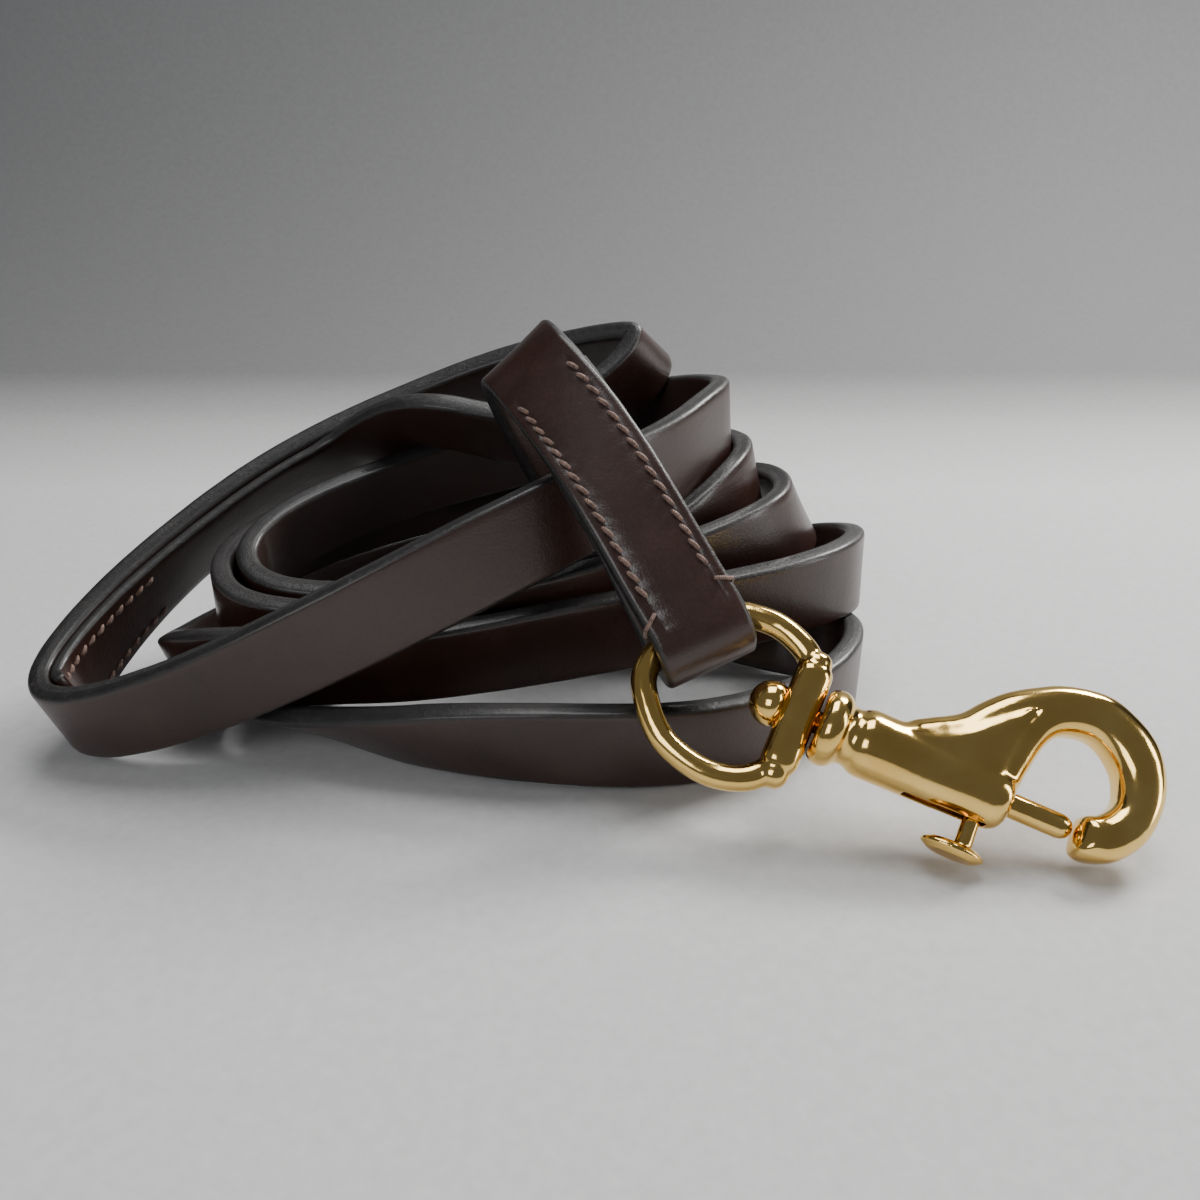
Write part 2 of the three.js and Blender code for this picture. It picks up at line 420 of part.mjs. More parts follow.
// ---- brass swivel bolt snap, drawn in its own plane: s along the swivel, t up the face, w out
const place = new THREE.Matrix4().makeBasis(AXIS_S, AXIS_U, AXIS_W);
const snapOrigin = EYE_CENTRE.clone().addScaledVector(AXIS_S, 51.9 * SNAP_SCALE).addScaledVector(AXIS_U, -14.9 * SNAP_SCALE);
place.scale(new THREE.Vector3(SNAP_SCALE, SNAP_SCALE, SNAP_SCALE)).setPosition(snapOrigin);
const placed = (solid) => toGeometry(solid).applyMatrix4(place);
const smooth = (points, count) => new THREE.CatmullRomCurve3(points.map(([x, y]) => new THREE.Vector3(x, y, 0)), true, 'centripetal')
  .getSpacedPoints(count).slice(0, -1).map((q) => new THREE.Vector2(q.x, q.y));
const plate = (outline, hole, thick, bevel, segments) => {
  const shape = new THREE.Shape(outline);
  if (hole) shape.holes.push(new THREE.Path(hole));
  const g = new THREE.ExtrudeGeometry(shape, { depth: thick - 2 * bevel, bevelEnabled: true, bevelThickness: bevel, bevelSize: bevel, bevelOffset: -bevel, bevelSegments: segments, curveSegments: 8 });
  g.translate(0, 0, -(thick - 2 * bevel) / 2);
  return toSolid(g);
};
const turned = (profile, count = 28) => {   // profile: [along s, radius]
  const g = new THREE.LatheGeometry(profile.map(([s, r]) => new THREE.Vector2(r, s)), count);
  g.rotateZ(-Math.PI / 2);
  g.translate(0, AXIS_T, 0);
  return toSolid(g);
};
const rod = (s0, s1, r, count = 28) => turned([[s0, 0], [s0, r], [s1, r], [s1, 0]], count);

// eye: a wire bow closed by a thick bored cross piece
const eyeOutline = smooth([[-49.0, 21.3], [-53.5, 16.4], [-57.5, 11.0], [-58.7, 5], [-56.6, -0.4], [-50.6, -6.2], [-41.6, -8.6], [-33.2, -6.4], [-29.2, -1.8], [-28, 4], [-28, 12.5], [-29.8, 18.3], [-33.6, 21.6], [-39.5, 23.3], [-45.2, 23.0]], 72);
const eyeHole = smooth([[-46.1, 18.2], [-50.1, 13.4], [-53.6, 8.9], [-54.2, 5.2], [-52.5, 1.8], [-48.2, -2.3], [-41.6, -4.1], [-36.0, -2.6], [-34.0, 1.5], [-34.0, 8], [-34.0, 14.2], [-35.4, 17.4], [-38.6, 18.9], [-43, 19.4]], 60);
const boss = plate([[-34.0, 2.2], [-28, 2.2], [-28, 14.6], [-34.0, 14.6]].map(([x, y]) => new THREE.Vector2(x, y)), null, BOSS_THICK, 0.9, 3);
const eye = plate(eyeOutline, eyeHole, EYE_THICK, 1.5, 3).add(boss).subtract(rod(-36, -26, POST_BORE_R));

// post: domed head inside the eye, shank through the cross piece into the barrel
const post = turned([[-39.2, 0], [-39.0, 1.4], [-38.1, 2.9], [-36.6, 3.7], [-34.9, 3.9], [-34.15, 3.7], [-34.15, POST_R], [-21, POST_R], [-20.7, 1.6], [-20.7, 0]]);

// body: hook, barrel and collar in one casting
const hookOutline = smooth([[-17, 10], [-14.5, 14.4], [-11.8, 16.2], [-7.6, 18.8], [-4.6, 22.4], [-1.4, 25.5], [2.8, 28.2], [5.7, 29.7], [9.6, 30.8], [13.6, 31.1], [17.2, 30], [21.2, 27.7], [23.9, 24.6], [25.7, 20.1], [26, 15.5], [25.0, 10.8], [22.3, 6.9], [19.5, 5.1], [16.6, 4.5], [15.0, 5.4], [14.7, 8.4], [15.0, 11.0], [17.2, 12.3], [18.8, 14.6], [18.7, 17], [17.4, 19.9], [14.5, 22.4], [11.9, 23], [8.3, 21.8], [6.4, 19.0], [5.2, 14], [4.0, 9], [0, 6.4], [-8, 6.2], [-14, 7]], 110);
const casting = plate(hookOutline, null, HOOK_THICK, HOOK_BEVEL, 3)
  .add(turned([[-27.7, 0], [-27.7, 5.7], [-27.2, COLLAR_R], [-23.8, COLLAR_R], [-23.2, 6.2], [-22.8, 5.1], [-21.9, 4.9], [-21.0, 5.3], [-20.2, BARREL_R], [2.6, 5.3], [3.9, 4.6], [4.4, 3.4], [4.4, 0]], 32));
const slotShape = [[-11.6, AXIS_T - 9], [1.8, AXIS_T - 9], [1.8, AXIS_T], [-11.6, AXIS_T]].map(([x, y]) => new THREE.Vector2(x, y));
const slot = new THREE.ExtrudeGeometry(new THREE.Shape(slotShape), { depth: 3.7, bevelEnabled: false });
slot.translate(0, 0, -1.85);
const body = casting
  .subtract(rod(-19, 13, BOLT_BORE_R))
  .subtract(rod(-30, -20.5, POST_BORE_R))
  .subtract(toSolid(slot));

// bolt, with a cross hole that takes the thumb piece
const crossRod = (t0, t1, s, r, count = 20) => {
  const g = new THREE.LatheGeometry([[t0, 0], [t0, r], [t1, r], [t1, 0]].map(([t, q]) => new THREE.Vector2(q, t)), count);
  g.translate(s, 0, 0);
  return toSolid(g);
};
const bolt = turned([[-11.4, 0], [-11.4, 1.7], [-11.1, BOLT_R], [13.0, BOLT_R], [13.9, 1.6], [14.4, 0.8], [14.45, 0]], 24).subtract(crossRod(AXIS_T - 4, AXIS_T + 0.1, -0.2, 1.55));
const capShape = Array.from({ length: 28 }, (_, i) => new THREE.Vector2(-1.5 + 5.0 * Math.cos(2 * Math.PI * i / 28), 3.5 * Math.sin(2 * Math.PI * i / 28)));
const cap = new THREE.ExtrudeGeometry(new THREE.Shape(capShape), { depth: 0.5, bevelEnabled: true, bevelThickness: 0.9, bevelSize: 1.1, bevelOffset: -1.1, bevelSegments: 3 });
cap.rotateX(-Math.PI / 2);
cap.translate(0, -2.2, 0);
const knob = toSolid(cap).add(crossRod(-1.6, AXIS_T - 0.2, -0.2, 1.45));

// ---- scene
const part = new THREE.Group();
part.name = 'training_leash';
const leather = { color: 0x3a2a24, roughness: 0.42, metalness: 0 };
const thread = { color: 0xb39a88, roughness: 0.8, metalness: 0 };
const brass = { color: 0xc79a4b, roughness: 0.22, metalness: 1 };
const add = (name, geometry, look) => {
  const mesh = new THREE.Mesh(geometry, new THREE.MeshStandardMaterial(look));
  mesh.name = name;
  part.add(mesh);
};
add('leather_strap', toGeometry(strap), leather);
const wrapStart = WRAP_END - 12;
add('snap_end_thread_left', stitchRow(wrapStart, -1, SNAP_ROWS_FROM, SNAP_ROWS_TO - SNAP_ROWS_FROM, -ROW_OFFSET, 1), thread);
add('snap_end_thread_right', stitchRow(wrapStart, -1, SNAP_ROWS_FROM, SNAP_ROWS_TO - SNAP_ROWS_FROM, ROW_OFFSET, 1), thread);
add('handle_thread_upper', stitchRow(0, 1, 2, 32, ROW_OFFSET, 1), thread);
add('handle_thread_lower', stitchRow(0, 1, 2, 32, -ROW_OFFSET, 1), thread);
add('swivel_eye', placed(eye), brass);
add('swivel_post', placed(post), brass);
add('snap_body', placed(body), brass);
add('snap_bolt', placed(bolt), brass);
add('thumb_knob', placed(knob), brass);

export default part;
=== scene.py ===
import math
import bpy
import bmesh
from mathutils import Vector, Matrix


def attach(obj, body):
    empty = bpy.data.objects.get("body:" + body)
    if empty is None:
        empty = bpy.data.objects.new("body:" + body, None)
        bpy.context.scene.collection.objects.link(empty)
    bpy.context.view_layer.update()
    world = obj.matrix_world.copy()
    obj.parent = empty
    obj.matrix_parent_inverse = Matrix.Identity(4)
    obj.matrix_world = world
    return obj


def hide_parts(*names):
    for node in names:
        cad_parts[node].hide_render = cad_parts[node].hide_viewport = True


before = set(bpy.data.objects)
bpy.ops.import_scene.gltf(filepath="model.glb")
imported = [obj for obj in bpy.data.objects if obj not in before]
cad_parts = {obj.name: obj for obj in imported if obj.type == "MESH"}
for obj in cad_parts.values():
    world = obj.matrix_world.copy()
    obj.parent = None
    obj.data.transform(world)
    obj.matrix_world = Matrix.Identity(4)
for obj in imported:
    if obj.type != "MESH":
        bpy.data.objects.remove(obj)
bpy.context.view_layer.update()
MM = 0.001
scene = bpy.context.scene

# rows of the strap: x, y, z of its middle, unit vector across it, thickness (mm)
ROWS = [
(-85.01,-17.04,9.96,-0.2526,-0.3068,0.9176,2.20),
(-87.52,-14.85,9.91,-0.1554,-0.3230,0.9335,2.20),
(-88.48,-11.94,10.64,-0.0774,-0.3633,0.9284,2.20),
(-88.20,-7.53,12.37,-0.0323,-0.4194,0.9072,2.20),
(-86.57,-2.09,14.93,0.0042,-0.4750,0.8800,2.20),
(-83.78,3.80,18.04,0.0408,-0.5254,0.8499,2.20),
(-79.98,9.77,21.49,0.0712,-0.5725,0.8168,2.20),
(-75.29,15.57,25.14,0.0877,-0.6155,0.7832,2.20),
(-69.88,21.01,28.89,0.0845,-0.6492,0.7559,2.20),
(-63.86,25.92,32.60,0.0659,-0.6689,0.7405,2.20),
(-57.32,30.19,36.08,0.0385,-0.6772,0.7348,2.20),
(-50.33,33.77,39.28,-0.0000,-0.6826,0.7308,2.20),
(-45.18,34.57,41.94,-0.4041,-0.7186,0.5659,2.54),
(-39.93,33.08,45.09,-0.5791,-0.6039,0.5477,2.88),
(-34.54,30.47,47.98,-0.5640,-0.5481,0.6177,3.22),
(-28.97,27.89,49.90,-0.3757,-0.6004,0.7060,3.56),
(-23.16,26.51,50.09,0.0621,-0.6947,0.7166,3.90),
(-18.47,26.05,49.23,0.0643,-0.6874,0.7234,3.90),
(-14.00,25.51,48.39,0.0414,-0.6544,0.7550,3.90),
(-9.66,25.12,47.97,-0.0060,-0.6075,0.7943,3.90),
(-5.41,25.15,48.18,-0.0719,-0.5615,0.8244,3.90),
(-1.22,25.76,49.13,-0.1508,-0.5301,0.8344,3.90),
(2.84,26.87,50.75,-0.2268,-0.5141,0.8272,3.90),
(6.67,28.34,52.89,-0.2908,-0.5133,0.8075,3.90),
(10.08,29.94,55.30,-0.3415,-0.5298,0.7763,3.90),
(12.88,31.49,57.74,-0.3756,-0.5603,0.7383,3.90),
(14.91,32.92,59.97,-0.3972,-0.5890,0.7037,3.90),
(16.06,34.17,61.74,-0.4267,-0.6084,0.6692,3.90),
(16.38,35.21,62.95,-0.4703,-0.6354,0.6124,3.90),
(15.95,36.04,63.55,-0.4713,-0.7014,0.5347,3.90),
(14.86,36.83,63.68,-0.4652,-0.7246,0.5086,3.90),
(13.18,37.76,63.47,-0.4600,-0.7322,0.5023,3.90),
(10.85,38.83,62.97,-0.4312,-0.7408,0.5151,3.90),
(7.80,39.97,62.19,-0.3980,-0.7441,0.5365,3.90),
(3.97,41.15,61.12,-0.3669,-0.7410,0.5624,3.90),
(-0.67,42.29,59.76,-0.3326,-0.7333,0.5930,3.90),
(-6.05,43.20,58.10,-0.2913,-0.7234,0.6260,3.90),
(-12.12,43.70,56.11,-0.2498,-0.7125,0.6557,3.90),
(-18.74,43.70,53.83,-0.2099,-0.7043,0.6781,3.90),
(-25.82,43.12,51.29,-0.1668,-0.7012,0.6931,3.90),
(-33.21,41.92,48.58,-0.1185,-0.6987,0.7055,3.90),
(-40.78,40.04,45.74,-0.0700,-0.6929,0.7177,3.90),
(-48.36,37.44,42.77,-0.0228,-0.6857,0.7275,3.90),
(-55.76,34.06,39.62,0.0205,-0.6799,0.7330,3.90),
(-62.80,29.95,36.19,0.0533,-0.6739,0.7369,3.90),
(-69.32,25.17,32.46,0.0766,-0.6607,0.7467,3.90),
(-75.24,19.84,28.54,0.0886,-0.6340,0.7682,3.90),
(-80.48,14.09,24.61,0.0816,-0.5948,0.7997,3.90),
(-84.92,8.06,20.77,0.0572,-0.5493,0.8337,3.90),
(-88.40,1.91,17.14,0.0228,-0.5007,0.8653,3.90),
(-90.77,-4.09,13.91,-0.0142,-0.4477,0.8941,3.90),
(-91.85,-9.66,11.30,-0.0522,-0.3910,0.9189,3.90),
(-91.29,-14.47,9.46,-0.1110,-0.3407,0.9336,3.90),
(-88.64,-18.28,8.60,-0.2065,-0.3111,0.9277,3.90),
(-83.40,-21.10,9.11,-0.2893,-0.3050,0.9074,3.90),
(-75.22,-23.02,11.35,-0.3365,-0.2978,0.8934,3.90),
(-64.47,-24.02,15.31,-0.3708,-0.2715,0.8881,3.90),
(-51.79,-24.00,20.76,-0.3912,-0.2152,0.8948,3.90),
(-38.22,-22.67,26.94,-0.3931,-0.1422,0.9084,3.90),
(-24.81,-19.80,32.97,-0.3843,-0.0744,0.9202,3.90),
(-12.37,-15.62,38.21,-0.3582,-0.0284,0.9332,3.90),
(-1.51,-10.48,42.21,-0.3135,-0.0159,0.9494,3.90),
(7.46,-4.85,45.05,-0.2598,-0.0348,0.9650,3.90),
(14.42,0.81,47.00,-0.1981,-0.0689,0.9778,3.90),
(19.60,6.14,48.38,-0.1538,-0.1019,0.9828,3.90),
(23.32,10.84,49.47,-0.1416,-0.1166,0.9830,3.90),
(26.01,14.86,50.31,-0.1359,-0.1048,0.9852,3.90),
(28.04,18.20,50.89,-0.1214,-0.0786,0.9895,3.90),
(29.49,21.03,51.23,-0.0999,-0.0411,0.9941,3.90),
(30.32,23.51,51.35,-0.0767,0.0074,0.9970,3.90),
(30.53,25.85,51.29,-0.0609,0.0542,0.9967,3.90),
(30.07,28.21,51.09,-0.0560,0.0963,0.9938,3.90),
(29.01,30.69,50.73,-0.0657,0.1329,0.9889,3.90),
(27.37,33.31,50.22,-0.0908,0.1574,0.9834,3.90),
(25.16,35.98,49.52,-0.1285,0.1694,0.9771,3.90),
(22.34,38.59,48.63,-0.1721,0.1639,0.9713,3.90),
(18.92,40.91,47.58,-0.2132,0.1381,0.9672,3.90),
(14.88,42.76,46.39,-0.2447,0.0917,0.9652,3.90),
(10.21,43.98,45.08,-0.2590,0.0274,0.9655,3.90),
(4.90,44.43,43.67,-0.2503,-0.0487,0.9669,3.90),
(-1.02,44.05,42.19,-0.2185,-0.1293,0.9672,3.90),
(-7.52,42.79,40.66,-0.1658,-0.2079,0.9640,3.90),
(-14.46,40.67,39.16,-0.0967,-0.2792,0.9554,3.90),
(-21.71,37.75,37.75,-0.0234,-0.3398,0.9402,3.90),
(-29.00,34.16,36.42,0.0417,-0.3829,0.9228,3.90),
(-36.07,30.01,35.15,0.0893,-0.4016,0.9115,3.90),
(-42.65,25.39,33.86,0.1113,-0.3961,0.9115,3.90),
(-48.43,20.39,32.46,0.1035,-0.3709,0.9229,3.90),
(-53.13,15.22,30.93,0.0751,-0.3454,0.9354,3.90),
(-56.45,10.11,29.29,0.0419,-0.3364,0.9408,3.90),
(-58.12,5.34,27.62,0.0135,-0.3500,0.9367,3.90),
(-57.89,1.17,25.99,0.0013,-0.3796,0.9251,3.90),
(-55.73,-2.17,24.56,0.0024,-0.4039,0.9148,3.90),
(-51.71,-4.49,23.49,0.0093,-0.4109,0.9116,3.90),
(-46.12,-5.81,22.84,0.0108,-0.3987,0.9170,3.90),
(-39.30,-6.21,22.61,0.0048,-0.3714,0.9285,3.90),
(-31.66,-5.91,22.72,-0.0058,-0.3384,0.9410,3.90),
(-23.58,-5.14,23.10,-0.0232,-0.3096,0.9506,3.90),
(-15.35,-4.08,23.74,-0.0502,-0.2863,0.9568,3.90),
(-7.23,-2.91,24.65,-0.0855,-0.2681,0.9596,3.90),
(0.56,-1.67,25.85,-0.1300,-0.2564,0.9578,3.90),
(7.80,-0.31,27.39,-0.1810,-0.2510,0.9509,3.90),
(14.37,1.33,29.26,-0.2362,-0.2456,0.9401,3.90),
(20.18,3.44,31.43,-0.2863,-0.2322,0.9296,3.90),
(25.19,6.13,33.71,-0.3205,-0.2034,0.9251,3.90),
(29.38,9.44,35.86,-0.3386,-0.1625,0.9268,3.90),
(32.71,13.23,37.63,-0.3264,-0.1143,0.9383,3.90),
(35.12,17.35,38.81,-0.2857,-0.0704,0.9557,3.90),
(36.39,21.75,39.40,-0.2339,-0.0360,0.9716,3.90),
(36.31,26.36,39.47,-0.1840,0.0027,0.9829,3.90),
(34.85,31.03,39.13,-0.1454,0.0409,0.9885,3.90),
(32.02,35.57,38.49,-0.1217,0.0744,0.9898,3.90),
(27.91,39.77,37.64,-0.1111,0.0998,0.9888,3.90),
(22.61,43.46,36.65,-0.1104,0.1147,0.9872,3.90),
(16.28,46.40,35.57,-0.1161,0.1189,0.9861,3.90),
(9.11,48.41,34.46,-0.1238,0.1124,0.9859,3.90),
(1.30,49.36,33.35,-0.1297,0.0954,0.9869,3.90),
(-6.91,49.18,32.27,-0.1310,0.0697,0.9889,3.90),
(-15.28,47.85,31.25,-0.1262,0.0396,0.9912,3.90),
(-23.58,45.42,30.30,-0.1147,0.0091,0.9934,3.90),
(-31.57,41.97,29.42,-0.0966,-0.0203,0.9951,3.90),
(-39.05,37.61,28.63,-0.0719,-0.0472,0.9963,3.90),
(-45.81,32.53,27.94,-0.0411,-0.0699,0.9967,3.90),
(-51.66,26.92,27.35,-0.0081,-0.0884,0.9961,3.90),
(-56.45,20.96,26.80,0.0219,-0.1035,0.9944,3.90),
(-60.06,14.86,26.25,0.0448,-0.1159,0.9922,3.90),
(-62.36,8.85,25.62,0.0596,-0.1313,0.9895,3.90),
(-63.26,3.19,24.88,0.0682,-0.1479,0.9867,3.90),
(-62.78,-1.85,24.05,0.0649,-0.1644,0.9843,3.90),
(-60.95,-6.02,23.20,0.0468,-0.1898,0.9807,3.90),
(-57.73,-9.17,22.42,0.0310,-0.2230,0.9743,3.90),
(-53.14,-11.22,21.79,0.0268,-0.2497,0.9680,3.90),
(-47.41,-12.23,21.37,0.0225,-0.2686,0.9630,3.90),
(-40.83,-12.35,21.21,0.0126,-0.2826,0.9592,3.90),
(-33.66,-11.78,21.36,-0.0063,-0.2903,0.9569,3.90),
(-26.13,-10.76,21.81,-0.0304,-0.2907,0.9563,3.90),
(-18.38,-9.52,22.53,-0.0555,-0.2855,0.9568,3.90),
(-10.57,-8.22,23.47,-0.0793,-0.2769,0.9576,3.90),
(-2.81,-6.91,24.57,-0.1000,-0.2635,0.9595,3.90),
(4.78,-5.54,25.79,-0.1183,-0.2436,0.9626,3.90),
(12.09,-4.05,27.10,-0.1349,-0.2151,0.9672,3.90),
(19.00,-2.36,28.46,-0.1509,-0.1771,0.9726,3.90),
(25.37,-0.43,29.81,-0.1662,-0.1325,0.9771,3.90),
(31.06,1.79,31.06,-0.1824,-0.0858,0.9795,3.90),
(35.90,4.32,32.17,-0.2020,-0.0407,0.9785,3.90),
(39.75,7.20,33.07,-0.2300,-0.0013,0.9732,3.90),
(42.54,10.43,33.75,-0.2757,0.0283,0.9608,3.90),
(44.30,14.01,34.17,-0.3441,0.0433,0.9379,3.90),
(45.17,17.91,34.34,-0.4197,0.0421,0.9067,3.90),
(45.31,22.09,34.24,-0.4853,0.0250,0.8740,3.90),
(44.72,26.50,33.83,-0.5276,-0.0046,0.8495,3.90),
(43.30,31.08,33.05,-0.5369,-0.0386,0.8427,3.90),
(40.86,35.71,31.82,-0.5162,-0.0661,0.8539,3.90),
(37.18,40.22,30.10,-0.4727,-0.0774,0.8778,3.90),
(32.17,44.38,27.96,-0.4163,-0.0737,0.9063,3.90),
(25.79,47.90,25.54,-0.3589,-0.0558,0.9317,3.90),
(18.15,50.50,22.97,-0.3064,-0.0290,0.9515,3.90),
(9.41,51.92,20.41,-0.2636,0.0012,0.9646,3.90),
(-0.18,52.04,17.97,-0.2310,0.0317,0.9724,3.90),
(-10.32,50.80,15.76,-0.2083,0.0605,0.9762,3.90),
(-20.63,48.29,13.83,-0.1949,0.0884,0.9768,3.90),
(-30.76,44.62,12.22,-0.1926,0.1159,0.9744,3.90),
(-40.29,39.90,10.91,-0.2048,0.1411,0.9686,3.90),
(-48.86,34.24,9.89,-0.2308,0.1631,0.9592,3.90),
(-56.17,27.82,9.14,-0.2707,0.1792,0.9458,3.90),
(-61.99,20.87,8.68,-0.3192,0.1900,0.9284,3.90),
(-66.22,13.67,8.63,-0.3687,0.1992,0.9080,3.90),
(-68.84,6.56,9.10,-0.4133,0.2045,0.8873,3.90),
(-69.96,-0.13,10.14,-0.4433,0.2124,0.8708,3.90),
(-69.71,-6.07,11.74,-0.4550,0.2107,0.8652,3.90),
(-68.24,-11.01,13.62,-0.4401,0.1821,0.8793,3.90),
(-65.73,-14.78,15.47,-0.3951,0.1295,0.9094,3.90),
(-62.37,-17.31,17.02,-0.3110,0.0504,0.9491,3.90),
(-58.32,-18.64,18.08,-0.1856,-0.0443,0.9816,3.90),
(-53.70,-18.94,18.59,-0.0450,-0.1334,0.9900,3.90),
(-48.56,-18.42,18.59,0.0705,-0.2000,0.9773,3.90),
(-42.88,-17.41,18.21,0.1295,-0.2467,0.9604,3.90),
(-36.58,-16.23,17.65,0.1269,-0.2736,0.9534,3.90),
(-29.64,-14.98,17.28,0.0681,-0.2848,0.9562,3.90),
(-22.05,-13.70,17.43,-0.0057,-0.2785,0.9604,3.90),
(-13.82,-12.44,18.09,-0.0648,-0.2539,0.9651,3.90),
(-4.98,-11.21,19.18,-0.1016,-0.2167,0.9709,3.90),
(4.33,-9.95,20.47,-0.1099,-0.1830,0.9769,3.90),
(13.97,-8.56,21.75,-0.0973,-0.1683,0.9809,3.90),
(23.65,-6.80,22.88,-0.0708,-0.1673,0.9834,3.90),
(33.03,-4.44,23.80,-0.0357,-0.1661,0.9855,3.90),
(41.56,-1.29,24.46,-0.0021,-0.1409,0.9900,3.90),
(48.68,2.81,24.83,0.0212,-0.0722,0.9972,3.90),
(53.85,7.75,24.80,0.0300,0.0323,0.9990,3.90),
(56.62,13.34,24.21,0.0141,0.1489,0.9888,3.90),
(56.83,19.16,22.99,-0.0157,0.2582,0.9660,3.90),
(54.46,24.74,21.13,-0.0491,0.3410,0.9388,3.90),
(49.74,29.57,18.88,-0.0772,0.3940,0.9159,3.90),
(42.97,33.23,16.55,-0.1011,0.4249,0.8996,3.90),
(34.54,35.46,14.44,-0.1162,0.4360,0.8924,3.90),
(24.89,36.15,12.79,-0.1263,0.4339,0.8920,3.90),
(14.46,35.36,11.64,-0.1348,0.4231,0.8960,3.90),
(3.69,33.21,10.97,-0.1429,0.4073,0.9020,3.90),
(-6.99,29.90,10.68,-0.1538,0.3876,0.9089,3.90),
(-17.16,25.66,10.64,-0.1677,0.3653,0.9156,3.90),
(-26.50,20.85,10.69,-0.1869,0.3406,0.9214,3.90),
(-34.69,15.84,10.69,-0.2149,0.3119,0.9255,3.90),
(-41.56,10.92,10.52,-0.2562,0.2741,0.9270,3.90),
(-46.98,6.37,10.10,-0.3119,0.2224,0.9237,3.90),
(-50.97,2.36,9.44,-0.3804,0.1494,0.9127,3.90),
(-53.60,-0.99,8.60,-0.4624,0.0426,0.8857,3.90),
(-55.08,-3.80,7.67,-0.5457,-0.0913,0.8330,3.90),
(-55.56,-6.24,6.88,-0.6190,-0.2822,0.7329,3.90),
(-54.86,-8.59,6.22,-0.5978,-0.5197,0.6104,3.90),
(-52.76,-11.07,5.83,-0.5234,-0.6573,0.5422,3.90),
(-49.07,-13.83,5.82,-0.4668,-0.7010,0.5391,3.90),
(-43.72,-16.87,6.28,-0.4103,-0.6784,0.6094,3.90),
(-36.82,-20.02,6.96,-0.3403,-0.6041,0.7206,3.90),
(-28.56,-23.02,7.58,-0.2573,-0.4904,0.8327,3.90),
(-19.24,-25.62,8.53,-0.1602,-0.3638,0.9176,3.90),
(-9.20,-27.57,9.09,-0.0686,-0.2541,0.9647,3.90),
(1.12,-28.61,9.18,0.0055,-0.1751,0.9845,3.90),
(11.32,-28.44,8.86,0.0547,-0.1324,0.9897,3.90),
(21.23,-26.79,8.41,0.0696,-0.1136,0.9911,3.90),
(30.66,-23.49,8.12,0.0642,-0.1028,0.9926,3.90),
(39.18,-18.74,8.09,0.0486,-0.0923,0.9945,3.90),
(46.29,-12.89,8.32,0.0291,-0.0784,0.9965,3.90),
(51.55,-6.54,8.63,0.0152,-0.0545,0.9984,3.90),
(54.61,-0.34,8.84,0.0094,-0.0207,0.9997,3.90),
(55.40,5.21,8.81,0.0206,0.0353,0.9992,3.90),
(54.00,9.72,8.53,0.0544,0.1202,0.9913,3.90),
(50.68,13.19,8.21,0.1080,0.2263,0.9681,3.90),
(45.80,15.72,8.18,0.1697,0.3437,0.9236,3.90),
(39.83,17.55,8.76,0.2480,0.4505,0.8576,3.90),
(33.25,18.90,10.30,0.3311,0.5379,0.7752,3.90),
(26.55,19.76,13.04,0.4095,0.6021,0.6854,3.90),
(20.15,20.10,17.14,0.4746,0.6432,0.6009,3.90),
(14.27,19.90,22.58,0.5237,0.6645,0.5330,3.90),
(8.99,19.16,29.24,0.5630,0.6695,0.4845,3.90),
(4.17,17.98,36.85,0.5976,0.6579,0.4584,3.90),
(-0.30,16.51,45.06,0.6349,0.6315,0.4451,3.90),
(-4.13,14.73,53.26,0.6695,0.6053,0.4306,3.90),
(-6.89,12.55,60.62,0.6898,0.5751,0.4399,3.90),
(-8.00,9.53,65.70,0.7066,0.4745,0.5250,3.90),
(-7.05,5.31,67.30,0.6836,0.2693,0.6784,3.90),
(-4.35,0.23,65.96,0.6784,0.0847,0.7298,3.90),
(-0.44,-5.20,62.62,0.7635,0.1084,0.6367,3.90),
(3.91,-10.51,58.11,0.8366,0.2104,0.5057,3.90),
(8.04,-15.27,53.11,0.8683,0.2808,0.4089,3.90),
(11.87,-19.48,47.85,0.8779,0.2985,0.3743,3.90),
(15.49,-23.21,42.46,0.8794,0.2947,0.3739,3.90),
(18.97,-26.60,37.19,0.8712,0.3022,0.3870,3.90),
(22.39,-29.77,32.26,0.9069,0.2644,0.3282,3.90),
(22.96,-30.31,31.11,0.9069,0.2644,0.3282,3.90),
(23.49,-30.52,29.83,0.9069,0.2644,0.3282,3.90),
(23.92,-30.37,28.52,0.9069,0.2644,0.3282,3.90),
(24.24,-29.88,27.25,0.9069,0.2644,0.3282,3.90),
(24.41,-29.08,26.11,0.9069,0.2644,0.3282,3.90),
(24.44,-28.03,25.19,0.9069,0.2644,0.3282,3.90),
(24.31,-26.80,24.55,0.9069,0.2644,0.3282,3.90),
(24.04,-25.47,24.23,0.9069,0.2644,0.3282,3.90),
(23.65,-24.13,24.24,0.9069,0.2644,0.3282,3.90),
(23.15,-22.87,24.60,0.9069,0.2644,0.3282,3.90),
(22.59,-21.79,25.28,0.9069,0.2644,0.3282,3.90),
(22.00,-20.95,26.23,0.9069,0.2644,0.3282,3.90),
(20.72,-20.01,28.24,0.8624,0.3108,0.3996,3.62),
(19.49,-19.53,30.56,0.8675,0.3058,0.3923,3.34),
(18.29,-19.37,33.08,0.8723,0.3011,0.3853,3.06),
(17.13,-19.38,35.71,0.8762,0.2974,0.3793,2.77),
(15.76,-19.40,38.84,0.8787,0.2953,0.3751,2.44),
(14.38,-19.11,41.77,0.8796,0.2950,0.3732,2.10),
(12.98,-18.05,44.17,0.8791,0.2964,0.3732,2.10),
(11.08,-16.04,46.92,0.8765,0.2977,0.3783,2.10),
(9.21,-13.92,49.58,0.8718,0.2896,0.3951,2.10),
